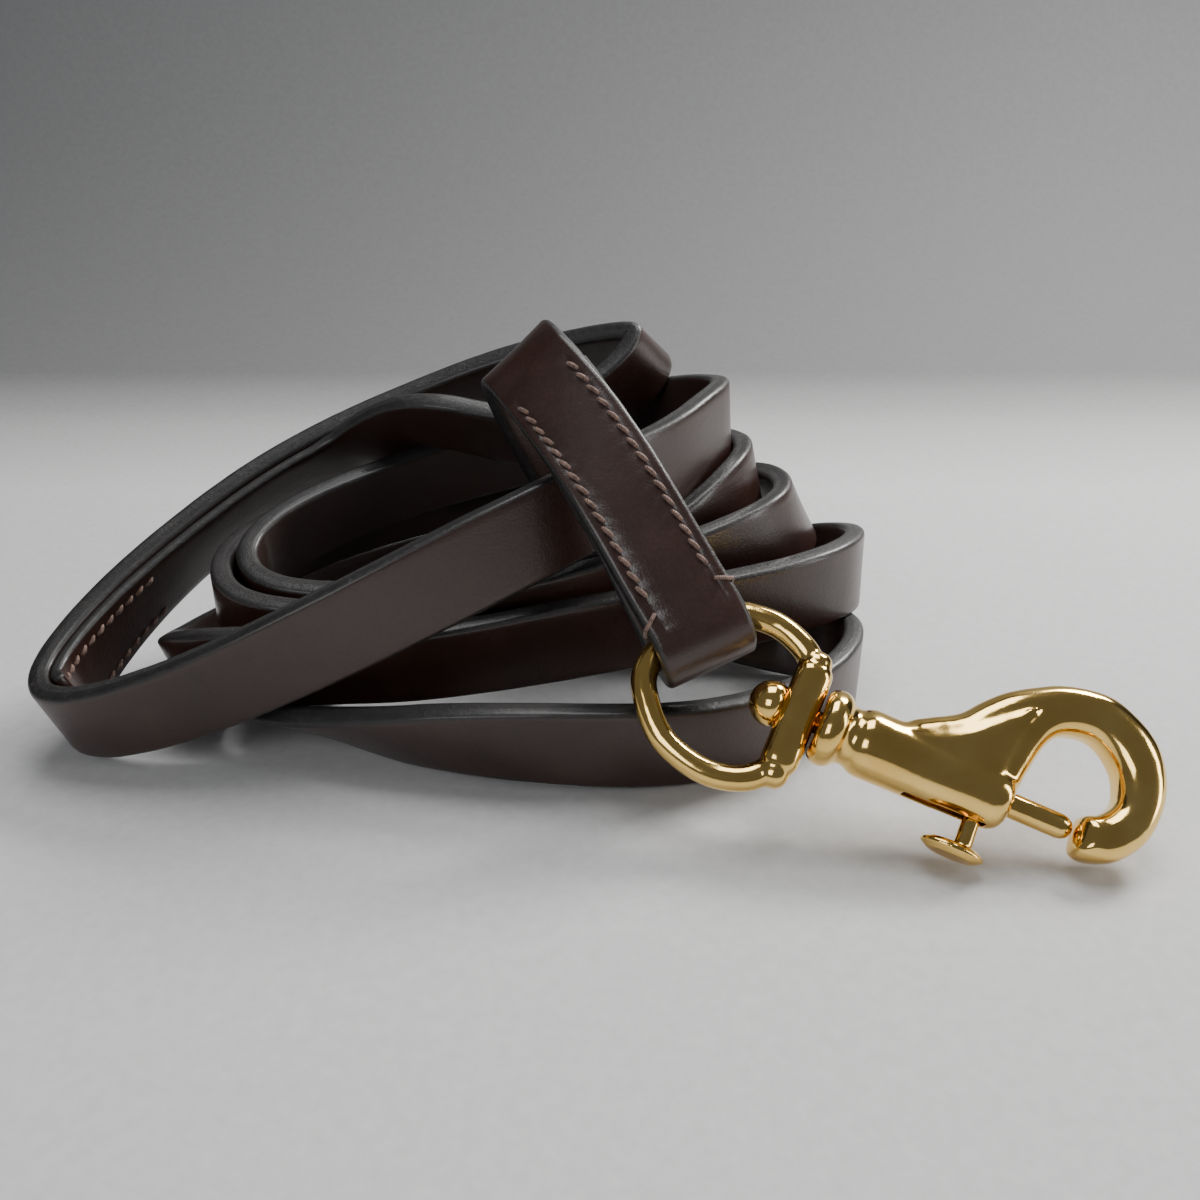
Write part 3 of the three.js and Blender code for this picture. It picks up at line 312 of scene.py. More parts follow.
(6.91,-11.11,52.81,0.8606,0.2602,0.4379,2.10),
(4.64,-8.15,55.90,0.8379,0.2128,0.5026,2.10),
(2.37,-5.03,58.82,0.7993,0.1518,0.5814,2.10),
(0.11,-1.77,61.49,0.7452,0.0955,0.6600,2.10),
(-1.69,0.93,63.30,0.6990,0.0799,0.7107,2.10)
]
TAIL_ROWS = 16
WRAP_END = 260
EYE_C = Vector((22.19460, -25.35733, 29.24551))
AX_S = Vector((0.91015, -0.29769, -0.28811))
AX_T = Vector((0.41331, 0.60478, 0.68075))
AX_W = Vector((-0.02841, -0.73866, 0.67348))
AXIS_T = 8.4
KS = 0.9840
HALF = 8.0


# ------------------------------------------------------------------ helpers
def link(name, mesh, mat=None):
    o = bpy.data.objects.new(name, mesh)
    scene.collection.objects.link(o)
    if mat:
        mesh.materials.append(mat)
    return o


def smooth_all(mesh):
    mesh.polygons.foreach_set("use_smooth", [True] * len(mesh.polygons))


def catmull(p0, p1, p2, p3, f):
    return 0.5 * ((2 * p1) + (p2 - p0) * f + (2 * p0 - 5 * p1 + 4 * p2 - p3) * f * f + (3 * p1 - p0 - 3 * p2 + p3) * f ** 3)


P = [Vector(r[:3]) for r in ROWS]
W = [Vector(r[3:6]).normalized() for r in ROWS]
TH = [r[6] for r in ROWS]
NR = len(ROWS)


def clampi(i):
    return max(0, min(NR - 1, i))


def station(u):
    """middle, out, across, thickness at row position u"""
    i = min(int(u), NR - 2)
    f = u - i
    # local spacing is uneven near the eye, so use chord-aware tangents
    p0, p1, p2, p3 = (P[clampi(i + k)] for k in (-1, 0, 1, 2))
    d1 = (p2 - p1).length
    d0 = (p1 - p0).length or d1
    d2 = (p3 - p2).length or d1
    m1 = ((p1 - p0) / d0 * d1 + (p2 - p1) / d1 * d0) / (d0 + d1) * d1 if p0 is not p1 and d0 > 0 else (p2 - p1)
    m2 = ((p2 - p1) / d1 * d2 + (p3 - p2) / d2 * d1) / (d1 + d2) * d1 if d2 > 0 else (p2 - p1)
    h00 = 2 * f ** 3 - 3 * f * f + 1
    h10 = f ** 3 - 2 * f * f + f
    h01 = -2 * f ** 3 + 3 * f * f
    h11 = f ** 3 - f * f
    p = p1 * h00 + m1 * h10 + p2 * h01 + m2 * h11
    t = p1 * (6 * f * f - 6 * f) + m1 * (3 * f * f - 4 * f + 1) + p2 * (-6 * f * f + 6 * f) + m2 * (3 * f * f - 2 * f)
    t.normalize()
    w = (W[i] * (1 - f) + W[i + 1] * f)
    w = (w - t * w.dot(t)).normalized()
    n = t.cross(w).normalized()
    return p, n, w, t, TH[i] * (1 - f) + TH[i + 1] * f


SUB = 0.25
US = []
u = 0.0
wrap_lo = WRAP_END - 12
while u < NR - 1 - 1e-9:
    US.append(u)
    if WRAP_END - 21 <= u < wrap_lo:
        u += 0.1
    elif u >= wrap_lo:
        u += 0.34
    else:
        u += SUB if u > 8 else 0.125
US.append(NR - 1 - 1e-6)
ST = [station(v) for v in US]
CUM = [0.0]
for a, b in zip(ST, ST[1:]):
    CUM.append(CUM[-1] + (b[0] - a[0]).length)
LENGTH = CUM[-1]


def at_length(s):
    import bisect
    i = max(0, min(len(CUM) - 2, bisect.bisect(CUM, s) - 1))
    f = (s - CUM[i]) / max(CUM[i + 1] - CUM[i], 1e-9)
    return station(US[i] + (US[i + 1] - US[i]) * f)


# ------------------------------------------------------------------ materials
def nodes_of(name):
    m = bpy.data.materials.new(name)
    m.use_nodes = True
    t = m.node_tree
    b = t.nodes["Principled BSDF"]
    return m, t, b


def N(t, kind, **kw):
    n = t.nodes.new(kind)
    for k, v in kw.items():
        if k in n.inputs:
            n.inputs[k].default_value = v
        else:
            setattr(n, k, v)
    return n


def ramp(t, src, stops):
    r = t.nodes.new("ShaderNodeValToRGB")
    e = r.color_ramp.elements
    while len(e) < len(stops):
        e.new(0.5)
    for k, (pos, col) in enumerate(stops):
        e[k].position = pos
        e[k].color = (*col, 1)
    t.links.new(src, r.inputs["Fac"])
    return r.outputs["Color"]


def mix(t, fac, a, b):
    m = t.nodes.new("ShaderNodeMix")
    m.data_type = "RGBA"
    if isinstance(fac, float):
        m.inputs[0].default_value = fac
    else:
        t.links.new(fac, m.inputs[0])
    for sock, v in ((6, a), (7, b)):
        if isinstance(v, tuple):
            m.inputs[sock].default_value = (*v, 1)
        else:
            t.links.new(v, m.inputs[sock])
    return m.outputs[2]


def mathn(t, op, a, b=None, c=None):
    m = t.nodes.new("ShaderNodeMath")
    m.operation = op
    for k, v in enumerate((a, b, c)):
        if v is None:
            continue
        if isinstance(v, (int, float)):
            m.inputs[k].default_value = v
        else:
            t.links.new(v, m.inputs[k])
    return m.outputs[0]


def leather_material():
    m, t, b = nodes_of("bridle_leather")
    uv = N(t, "ShaderNodeUVMap", uv_map="strip")
    obj = N(t, "ShaderNodeTexCoord")
    edge = N(t, "ShaderNodeAttribute", attribute_name="edge")
    flesh = N(t, "ShaderNodeAttribute", attribute_name="flesh")
    # slow cloudiness of the dressing
    cloud = N(t, "ShaderNodeTexNoise", Scale=55.0, Detail=5.0, Roughness=0.6)
    t.links.new(obj.outputs["Object"], cloud.inputs["Vector"])
    face = ramp(t, cloud.outputs["Fac"], [(0.25, (0.0215, 0.0085, 0.0062)), (0.55, (0.036, 0.0148, 0.0108)), (0.8, (0.052, 0.0225, 0.0165))])
    # fine hair-cell grain
    grain = N(t, "ShaderNodeTexVoronoi", Scale=2300.0)
    t.links.new(obj.outputs["Object"], grain.inputs["Vector"])
    pores = N(t, "ShaderNodeTexNoise", Scale=1500.0, Detail=3.0, Roughness=0.65)
    t.links.new(obj.outputs["Object"], pores.inputs["Vector"])
    pore_tone = ramp(t, pores.outputs["Fac"], [(0.3, (0.55, 0.55, 0.55)), (0.62, (1.12, 1.12, 1.12))])
    tone = t.nodes.new("ShaderNodeMix")
    tone.data_type = "RGBA"
    tone.blend_type = "MULTIPLY"
    tone.inputs[0].default_value = 0.55
    t.links.new(face, tone.inputs[6])
    t.links.new(pore_tone, tone.inputs[7])
    face2 = tone.outputs[2]
    # flesh side is duller and a little paler
    fl = mix(t, flesh.outputs["Fac"], face2, (0.034, 0.0165, 0.0125))
    # burnished edge: near black with fibres running along it
    mp = N(t, "ShaderNodeMapping")
    mp.inputs["Scale"].default_value = (260.0, 1600.0, 1.0)
    t.links.new(uv.outputs["UV"], mp.inputs["Vector"])
    fibre = N(t, "ShaderNodeTexNoise", Scale=1.0, Detail=6.0, Roughness=0.7)
    t.links.new(mp.outputs["Vector"], fibre.inputs["Vector"])
    rough_e = N(t, "ShaderNodeTexNoise", Scale=900.0, Detail=4.0, Roughness=0.7)
    t.links.new(obj.outputs["Object"], rough_e.inputs["Vector"])
    edge_mix = mathn(t, "MULTIPLY", fibre.outputs["Fac"], rough_e.outputs["Fac"])
    edge_col = ramp(t, edge_mix, [(0.14, (0.0045, 0.0038, 0.0036)), (0.32, (0.014, 0.012, 0.0115)), (0.5, (0.060, 0.054, 0.050))])
    col = mix(t, edge.outputs["Fac"], fl, edge_col)
    t.links.new(col, b.inputs["Base Color"])
    # roughness
    r1 = mathn(t, "MULTIPLY_ADD", cloud.outputs["Fac"], 0.20, 0.24)
    r2 = mathn(t, "MULTIPLY_ADD", flesh.outputs["Fac"], 0.12, r1)
    r3 = mathn(t, "MULTIPLY_ADD", edge.outputs["Fac"], 0.16, r2)
    t.links.new(r3, b.inputs["Roughness"])
    b.inputs["Specular IOR Level"].default_value = 0.55
    b.inputs["Coat Weight"].default_value = 0.30
    b.inputs["Coat Roughness"].default_value = 0.20
    # bump: grain, long soft creases, rough edge
    crease = N(t, "ShaderNodeTexNoise", Scale=230.0, Detail=3.0, Roughness=0.5)
    t.links.new(obj.outputs["Object"], crease.inputs["Vector"])
    b1 = N(t, "ShaderNodeBump", Strength=0.16, Distance=0.00016)
    t.links.new(grain.outputs["Distance"], b1.inputs["Height"])
    b2 = N(t, "ShaderNodeBump", Strength=0.25, Distance=0.00025)
    t.links.new(crease.outputs["Fac"], b2.inputs["Height"])
    t.links.new(b1.outputs["Normal"], b2.inputs["Normal"])
    b3 = N(t, "ShaderNodeBump", Distance=0.0004)
    t.links.new(mathn(t, "MULTIPLY", edge.outputs["Fac"], 0.75), b3.inputs["Strength"])
    t.links.new(edge_mix, b3.inputs["Height"])
    t.links.new(b2.outputs["Normal"], b3.inputs["Normal"])
    t.links.new(b3.outputs["Normal"], b.inputs["Normal"])
    return m


def thread_material():
    m, t, b = nodes_of("waxed_thread")
    obj = N(t, "ShaderNodeTexCoord")
    n = N(t, "ShaderNodeTexNoise", Scale=1400.0, Detail=4.0)
    t.links.new(obj.outputs["Object"], n.inputs["Vector"])
    col = ramp(t, n.outputs["Fac"], [(0.3, (0.085, 0.046, 0.034)), (0.7, (0.27, 0.165, 0.125))])
    t.links.new(col, b.inputs["Base Color"])
    b.inputs["Roughness"].default_value = 0.62
    b.inputs["Sheen Weight"].default_value = 0.2
    tw = N(t, "ShaderNodeTexWave", Scale=900.0, Distortion=1.0, Detail=2.0)
    t.links.new(obj.outputs["Object"], tw.inputs["Vector"])
    bp = N(t, "ShaderNodeBump", Strength=0.5, Distance=0.0001)
    t.links.new(tw.outputs["Fac"], bp.inputs["Height"])
    t.links.new(bp.outputs["Normal"], b.inputs["Normal"])
    return m


def brass_material(name="polished_brass", dark=0.0):
    m, t, b = nodes_of(name)
    obj = N(t, "ShaderNodeTexCoord")
    n = N(t, "ShaderNodeTexNoise", Scale=120.0, Detail=6.0, Roughness=0.6)
    t.links.new(obj.outputs["Object"], n.inputs["Vector"])
    col = ramp(t, n.outputs["Fac"], [(0.2, (0.80, 0.50, 0.13)), (0.55, (0.90, 0.61, 0.19)), (0.85, (0.96, 0.71, 0.27))])
    t.links.new(col, b.inputs["Base Color"])
    b.inputs["Metallic"].default_value = 1.0
    t.links.new(mathn(t, "MULTIPLY_ADD", n.outputs["Fac"], 0.12, 0.06), b.inputs["Roughness"])
    fine = N(t, "ShaderNodeTexNoise", Scale=900.0, Detail=5.0, Roughness=0.7)
    t.links.new(obj.outputs["Object"], fine.inputs["Vector"])
    wob = N(t, "ShaderNodeTexNoise", Scale=160.0, Detail=2.0)
    t.links.new(obj.outputs["Object"], wob.inputs["Vector"])
    b1 = N(t, "ShaderNodeBump", Strength=0.10, Distance=0.0001)
    t.links.new(fine.outputs["Fac"], b1.inputs["Height"])
    b2 = N(t, "ShaderNodeBump", Strength=0.28, Distance=0.0006)
    t.links.new(wob.outputs["Fac"], b2.inputs["Height"])
    t.links.new(b1.outputs["Normal"], b2.inputs["Normal"])
    t.links.new(b2.outputs["Normal"], b.inputs["Normal"])
    return m


def floor_material():
    m, t, b = nodes_of("paper_painted_falloff")
    obj = N(t, "ShaderNodeTexCoord")
    sep = N(t, "ShaderNodeSeparateXYZ")
    t.links.new(obj.outputs["Object"], sep.inputs[0])
    # painted shade: the paper colour goes from pale grey to dark grey towards the back (+Y) and up the wall, standing
    # in for the light falling off there
    wall_falloff_shade = mathn(t, "MULTIPLY_ADD", sep.outputs["Y"], 4.0, -0.55)
    n = N(t, "ShaderNodeTexNoise", Scale=420.0, Detail=5.0, Roughness=0.6)
    t.links.new(obj.outputs["Object"], n.inputs["Vector"])
    base = ramp(t, wall_falloff_shade, [(0.0, (0.60, 0.60, 0.60)), (0.28, (0.42, 0.42, 0.42)), (0.50, (0.17, 0.172, 0.174)), (1.0, (0.15, 0.152, 0.155))])
    speck = ramp(t, n.outputs["Fac"], [(0.3, (0.90, 0.90, 0.90)), (0.7, (1.0, 1.0, 1.0))])
    mm = t.nodes.new("ShaderNodeMix")
    mm.data_type = "RGBA"
    mm.blend_type = "MULTIPLY"
    mm.inputs[0].default_value = 1.0
    t.links.new(base, mm.inputs[6])
    t.links.new(speck, mm.inputs[7])
    t.links.new(mm.outputs[2], b.inputs["Base Color"])
    b.inputs["Roughness"].default_value = 0.8
    bp = N(t, "ShaderNodeBump", Strength=0.12, Distance=0.0004)
    t.links.new(n.outputs["Fac"], bp.inputs["Height"])
    t.links.new(bp.outputs["Normal"], b.inputs["Normal"])
    return m


LEATHER = leather_material()
THREAD = thread_material()
BRASS = brass_material()

# ------------------------------------------------------------------ the strap
# section, one side: (across, out) in mm for a full 3.9 strap; the two long faces are flat, edges are rounded
def section(th, groove):
    r = min(0.95, th * 0.36)
    h = th / 2
    pts = []          # (across, out, edge, flesh)
    face = [-5.95, -5.6, -5.25, -2.6, 0.0, 2.6, 5.25, 5.6, 5.95]
    # grain face, from -w to +w
    for y in face:
        g = groove if abs(abs(y) - 5.6) < 0.01 else (groove * 0.35 if abs(abs(y) - 5.6) < 0.4 else 0.0)
        pts.append((y, h - g, 0.0, 0.0))
    for k in range(5):
        a = math.pi / 2 * k / 4
        pts.append((HALF - r + r * math.sin(a), h - r + r * math.cos(a), min(1.0, k / 2.0), 0.0))
    pts.append((HALF + 0.05, 0.0, 1.0, 0.3))
    for k in range(5):
        a = math.pi / 2 * k / 4
        pts.append((HALF - r + r * math.cos(a), -(h - r) - r * math.sin(a), min(1.0, (4 - k) / 2.0), 1.0))
    for y in reversed(face):
        pts.append((y, -h, 0.0, 1.0))
    for k in range(5):
        a = math.pi / 2 * k / 4
        pts.append((-(HALF - r + r * math.sin(a)), -(h - r) - r * math.cos(a), min(1.0, k / 2.0), 1.0))
    pts.append((-(HALF + 0.05), 0.0, 1.0, 0.3))
    for k in range(5):
        a = math.pi / 2 * k / 4
        pts.append((-(HALF - r + r * math.cos(a)), (h - r) + r * math.sin(a), min(1.0, (4 - k) / 2.0), 0.0))
    return pts


def length_at_row(row):
    import bisect
    i = bisect.bisect(US, row) - 1
    i = max(0, min(len(US) - 2, i))
    return CUM[i] + (CUM[i + 1] - CUM[i]) * (row - US[i]) / (US[i + 1] - US[i])


S_WRAP = length_at_row(wrap_lo)          # where the turn round the eye begins
SEW_TO = S_WRAP - 4.0
SEW_FROM = S_WRAP - 50.0
HANDLE_A, HANDLE_B = 2.0, 34.0


def hash1(k):
    x = math.sin(k * 127.1 + 11.7) * 43758.5453
    return x - math.floor(x)


def wobble(s, k):
    return math.sin(s * 0.071 + k * 1.7) * 0.5 + math.sin(s * 0.193 + k * 2.9) * 0.3 + math.sin(s * 0.437 + k) * 0.2


verts, uvs, edges_a, flesh_a, faces = [], [], [], [], []
ring = None
for i, (p, n, w, t, th) in enumerate(ST):
    s = CUM[i]
    sewn = SEW_FROM - 1 < s < SEW_TO + 1
    pts = section(th, 0.20 + 0.10 * math.cos(2 * math.pi * (s - SEW_FROM) / 2.75) if sewn else 0.0)
    ring = len(pts)
    sc = 1.0
    endd = min(s, LENGTH - s)
    if endd < 0.9:
        sc = 0.35 + 0.65 * (endd / 0.9) ** 0.5
    wb = 0.10 * wobble(s, 1.0)
    for (y, x, e, f) in pts:
        yy = y * (1.0 + 0.004 * wobble(s, 3.0))
        xx = x * (sc if endd < 0.9 else 1.0)
        ee = 0.05 * wobble(s * 3.1, 5.0 + (1 if y > 0 else 0)) * e
        verts.append((p + w * (yy + (ee if y > 0 else -ee)) + n * xx) * MM)
        uvs.append((s * MM, (y + 8) * MM + (0.02 if f > 0.5 else 0)))
        edges_a.append(e)
        flesh_a.append(f)
rings = len(ST)
for i in range(rings - 1):
    a, b = i * ring, (i + 1) * ring
    for k in range(ring):
        k2 = (k + 1) % ring
        faces.append((a + k, a + k2, b + k2, b + k))
faces.append(tuple(reversed(range(ring))))
faces.append(tuple(range((rings - 1) * ring, rings * ring)))
me = bpy.data.meshes.new("strap_skin")
me.from_pydata([tuple(v) for v in verts], [], faces)
me.update()
bm = bmesh.new()
bm.from_mesh(me)
bmesh.ops.recalc_face_normals(bm, faces=bm.faces)
bm.to_mesh(me)
bm.free()
smooth_all(me)
uvl = me.uv_layers.new(name="strip")
for lp in me.loops:
    uvl.data[lp.index].uv = uvs[lp.vertex_index]
for nm, vals in (("edge", edges_a), ("flesh", flesh_a)):
    at = me.attributes.new(nm, "FLOAT", "POINT")
    at.data.foreach_set("value", vals)
strap = link("strap_leather", me, LEATHER)
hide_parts("leather_strap")
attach(strap, "leash")


# ------------------------------------------------------------------ stitches
def tube(points, radii, sides, out):
    """adds a closed tube to out=(verts, faces)"""
    vs, fs = out
    base = len(vs)
    prev = None
    for k, p in enumerate(points):
        t = (points[min(k + 1, len(points) - 1)] - points[max(k - 1, 0)]).normalized()
        if prev is None:
            prev = t.orthogonal().normalized()
        prev = (prev - t * prev.dot(t)).normalized()
        q = t.cross(prev)
        for j in range(sides):
            a = 2 * math.pi * j / sides
            vs.append((p + (prev * math.cos(a) + q * math.sin(a)) * radii[k]) * MM)
    n = len(points)
    for k in range(n - 1):
        for j in range(sides):
            j2 = (j + 1) % sides
            fs.append((base + k * sides + j, base + k * sides + j2, base + (k + 1) * sides + j2, base + (k + 1) * sides + j))
    fs.append(tuple(base + j for j in reversed(range(sides))))
    fs.append(tuple(base + (n - 1) * sides + j for j in range(sides)))


def stitch_points(s0, s1, side, face, slant, rise=0.26, dip=0.34, steps=8):
    pts = []
    for k in range(steps + 1):
        f = k / steps
        p, n, w, t, th = at_length(s0 + (s1 - s0) * f)
        y = side + slant * (f - 0.5)
        z = th / 2 - 0.10 + rise * math.sin(math.pi * f) ** 0.6 - dip * (1 - math.sin(math.pi * f))
        pts.append(p + w * y + n * (z * face))
    return pts


def stitch_row(name, node, s_from, s_to, side, face, pitch, wrap_at=None, seed=0):
    out = ([], [])
    s = s_from
    k = 0
    while s + pitch * 0.98 <= s_to + 1e-6:
        j = (hash1(k + seed) - 0.5)
        a, b = s + 0.16, s + pitch - 0.16
        pts = stitch_points(a, b, side + 0.08 * j, face, 0.85 + 0.2 * j)
        n = len(pts)
        rad = [0.40 * (0.55 + 0.45 * math.sin(math.pi * i / (n - 1)) ** 0.5) * (1 + 0.08 * j) for i in range(n)]
        tube(pts, rad, 8, out)
        s += pitch
        k += 1
    if wrap_at is not None:
        # the last stitch goes over the strap's edge
        sg = 1 if side > 0 else -1
        pts = []
        p, n, w, t, th = at_length(wrap_at)
        for f in [i / 12 for i in range(13)]:
            if f < 0.55:
                g = f / 0.55
                pts.append(p + w * (side + (sg * HALF - side) * g) + n * face * (th / 2 + 0.22 * math.sin(math.pi * min(1, g + 0.15)) - (0.28 * g ** 4)) + t * (1.4 * g))
            else:
                g = (f - 0.55) / 0.45
                a = math.pi / 2 * g
                pts.append(p + w * (sg * (HALF + 0.22)) + n * face * (th / 2 - 0.1 - th * 0.85 * g) + t * (1.4 + 0.5 * g))
        tube(pts, [0.36] * len(pts), 8, out)
    me = bpy.data.meshes.new(name)
    me.from_pydata([tuple(v) for v in out[0]], [], out[1])
    me.update()
    smooth_all(me)
    o = link(name, me, THREAD)
    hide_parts(node)
    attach(o, "leash")
    return o


PITCH = 2.75
st_l = stitch_row("stitches_left", "snap_end_thread_left", SEW_FROM, SEW_TO - 2.2, -5.6, 1, PITCH, SEW_TO - 2.2, 1)
st_r = stitch_row("stitches_right", "snap_end_thread_right", SEW_FROM, SEW_TO - 2.2, 5.6, 1, PITCH, SEW_TO - 2.2, 50)
hd_u = stitch_row("stitches_handle_upper", "handle_thread_upper", HANDLE_A, HANDLE_B, 5.4, 1, PITCH, None, 90)
hd_l = stitch_row("stitches_handle_lower", "handle_thread_lower", HANDLE_A, HANDLE_B, -5.4, 1, PITCH, None, 130)


# ------------------------------------------------------------------ brass snap
ORIGIN = EYE_C + (AX_S * 51.9 - AX_T * 14.9) * KS
SNAP = Matrix(((AX_S.x * KS, AX_T.x * KS, AX_W.x * KS, ORIGIN.x), (AX_S.y * KS, AX_T.y * KS, AX_W.y * KS, ORIGIN.y), (AX_S.z * KS, AX_T.z * KS, AX_W.z * KS, ORIGIN.z), (0, 0, 0, 1)))


def bm_new():
    return bmesh.new()


def lathe(bm, profile, count=64, centre=(0, AXIS_T, 0), axis="S"):
    """profile [(along, radius)], closed on the axis"""
    rings_ = []
    for s, r in profile:
        if r < 1e-6:
            c = (s, 0, 0) if axis == "S" else (0, s, 0)
            rings_.append([bm.verts.new((c[0] + centre[0], c[1] + centre[1], c[2] + centre[2]))])
        else:
            row = []
            for k in range(count):
                a = 2 * math.pi * k / count
                q = (s, r * math.cos(a), r * math.sin(a)) if axis == "S" else (r * math.cos(a), s, r * math.sin(a))
                row.append(bm.verts.new((q[0] + centre[0], q[1] + centre[1], q[2] + centre[2])))
            rings_.append(row)
    for a, b in zip(rings_, rings_[1:]):
        for k in range(count):
            k2 = (k + 1) % count
            if len(a) == 1 and len(b) == 1:
                continue
            if len(a) == 1:
                bm.faces.new((a[0], b[k], b[k2]))
            elif len(b) == 1:
                bm.faces.new((a[k2], a[k], b[0]))
            else:
                bm.faces.new((a[k], b[k], b[k2], a[k2]))


def closed_curve(points, per=10):
    n = len(points)
    out = []
    for i in range(n):
        p0, p1, p2, p3 = (Vector((*points[(i + k) % n], 0)) for k in (-1, 0, 1, 2))
        for k in range(per):
            out.append(catmull(p0, p1, p2, p3, k / per))
    return out


def sweep_ring(bm, pts, rad, sides=20, flat=1.0):
    n = len(pts)
    rows = []
    for i, p in enumerate(pts):
        t = (pts[(i + 1) % n] - pts[(i - 1) % n]).normalized()
        nrm = Vector((-t.y, t.x, 0))
        r = rad(i / n, p) if callable(rad) else rad
        rows.append([bm.verts.new(p + nrm * (r * math.cos(2 * math.pi * k / sides)) + Vector((0, 0, r * flat * math.sin(2 * math.pi * k / sides)))) for k in range(sides)])
    for i in range(n):
        a, b = rows[i], rows[(i + 1) % n]
        for k in range(sides):
            k2 = (k + 1) % sides
            bm.faces.new((a[k], a[k2], b[k2], b[k]))


def plate_mesh(outline, thick, bevel, name, res=4):
    cu = bpy.data.curves.new(name, "CURVE")
    cu.dimensions = "2D"
    cu.fill_mode = "BOTH"
    cu.extrude = thick / 2 - bevel
    cu.bevel_depth = bevel
    cu.bevel_resolution = res
    cu.offset = -bevel
    sp = cu.splines.new("POLY")
    sp.points.add(len(outline) - 1)
    for q, p in zip(sp.points, outline):
        q.co = (p[0], p[1], 0, 1)
    sp.use_cyclic_u = True
    o = bpy.data.objects.new(name, cu)
    scene.collection.objects.link(o)
    dg = bpy.context.evaluated_depsgraph_get()
    me = bpy.data.meshes.new_from_object(o.evaluated_get(dg))
    bpy.data.objects.remove(o)
    bpy.data.curves.remove(cu)
    return me


def rounded_box(bm, lo, hi, r, seg=3):
    tmp = bmesh.new()
    bmesh.ops.create_cube(tmp, size=1.0)
    for v in tmp.verts:
        v.co = Vector([lo[k] + (v.co[k] + 0.5) * (hi[k] - lo[k]) for k in range(3)])
    bmesh.ops.bevel(tmp, geom=tmp.edges[:], offset=r, segments=seg, affect="EDGES", profile=0.5)
    me = bpy.data.meshes.new("b")
    tmp.to_mesh(me)
    tmp.free()
    bm.from_mesh(me)
    bpy.data.meshes.remove(me)


def finish_metal(name, bm, voxel, smooth_n, cutters=(), mat=None, after=2):
    bmesh.ops.recalc_face_normals(bm, faces=bm.faces)
    me = bpy.data.meshes.new(name + "_raw")
    bm.to_mesh(me)
    bm.free()
    o = bpy.data.objects.new(name + "_raw", me)
    scene.collection.objects.link(o)
    if voxel:
        m = o.modifiers.new("r", "REMESH")
        m.mode = "VOXEL"
        m.voxel_size = voxel
        m.use_smooth_shade = True
        m = o.modifiers.new("s", "SMOOTH")
        m.factor = 0.5
        m.iterations = smooth_n
    cos = []
    for c in cutters:
        bmesh.ops.recalc_face_normals(c, faces=c.faces)
        cm = bpy.data.meshes.new("cut")
        c.to_mesh(cm)
        c.free()
        co = bpy.data.objects.new("cut", cm)
        scene.collection.objects.link(co)
        cos.append(co)
        m = o.modifiers.new("b", "BOOLEAN")
        m.operation = "DIFFERENCE"
        m.solver = "EXACT"
        m.object = co
    if cutters and after:
        m = o.modifiers.new("r2", "REMESH")
        m.mode = "VOXEL"
        m.voxel_size = voxel * 0.8
        m.use_smooth_shade = True
        m = o.modifiers.new("s2", "SMOOTH")
        m.factor = 0.5
        m.iterations = after
    dg = bpy.context.evaluated_depsgraph_get()
    out = bpy.data.meshes.new_from_object(o.evaluated_get(dg))
    for q in [o] + cos:
        d = q.data
        bpy.data.objects.remove(q)
        bpy.data.meshes.remove(d)
    S = Matrix.Scale(MM, 4)
    out.transform(S @ SNAP)
    out.materials.clear()
    smooth_all(out)
    return link(name, out, mat or BRASS)


VOX = 0.24
eye_mid = closed_curve([(-47.6, 19.8), (-51.9, 14.9), (-55.6, 9.9), (-56.5, 5.0), (-54.5, 0.7), (-49.4, -4.2), (-41.6, -6.3), (-34.8, -4.6), (-31.3, -0.2), (-30.8, 4.5), (-30.8, 12.4), (-32.3, 17.6), (-36.2, 20.2), (-41.2, 21.2)])
bm = bm_new()
sweep_ring(bm, eye_mid, 2.2)
rounded_box(bm, (-34.1, -2.2, -3.5), (-27.9, 17.6, 3.5), 2.4, 6)
rounded_box(bm, (-33.6, -4.6, -2.9), (-28.6, 19.6, 2.9), 2.3, 5)
eye = finish_metal("brass_eye", bm, VOX, 14)
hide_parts("swivel_eye")
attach(eye, "eye")

bm = bm_new()
lathe(bm, [(-39.3, 0), (-39.2, 0.9), (-38.8, 1.9), (-38.0, 2.9), (-37.0, 3.55), (-35.9, 3.85), (-34.9, 3.8), (-34.1, 3.4), (-34.05, 1.95), (-21, 1.95), (-20.7, 0)], 48)
post = finish_metal("brass_post", bm, 0, 0)
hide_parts("swivel_post")
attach(post, "snap")

hook = closed_curve([(-17, 9), (-14.8, 14.0), (-11.8, 16.2), (-7.6, 18.8), (-4.6, 22.4), (-1.4, 25.5), (2.8, 28.2), (5.7, 29.7), (9.6, 30.8), (13.6, 31.1), (17.2, 30), (21.2, 27.7), (23.9, 24.6), (25.7, 20.1), (26, 15.5), (25.0, 10.8), (22.3, 6.9), (19.5, 5.1), (16.6, 4.5), (15.0, 5.4), (14.7, 8.4), (15.0, 11.0), (17.2, 12.3), (18.8, 14.6), (18.7, 17), (17.4, 19.9), (14.5, 22.4), (11.9, 23), (8.3, 21.8), (6.4, 19.0), (5.2, 14), (4.0, 9), (0, 6.4), (-8, 6.2), (-14, 6.5)], 5)
pm = plate_mesh([(q.x, q.y) for q in hook], 8.2, 3.2, "hookplate", 6)
web = closed_curve([(-20, 8.4), (-18.5, 12.0), (-15, 14.0), (-11.4, 15.2), (-7.2, 17.6), (-3.6, 21.0), (-0.4, 23.8), (3.0, 25.4), (5.2, 24.6), (5.0, 21.5), (4.0, 17.5), (3.4, 13.0), (3.6, 8.6), (3.0, 5.2), (-4, 4.6), (-12, 4.4), (-18, 5.2)], 5)
pm2 = plate_mesh([(q.x, q.y) for q in web], 9.6, 3.9, "web", 8)
bm = bm_new()
bm.from_mesh(pm)
bpy.data.meshes.remove(pm)
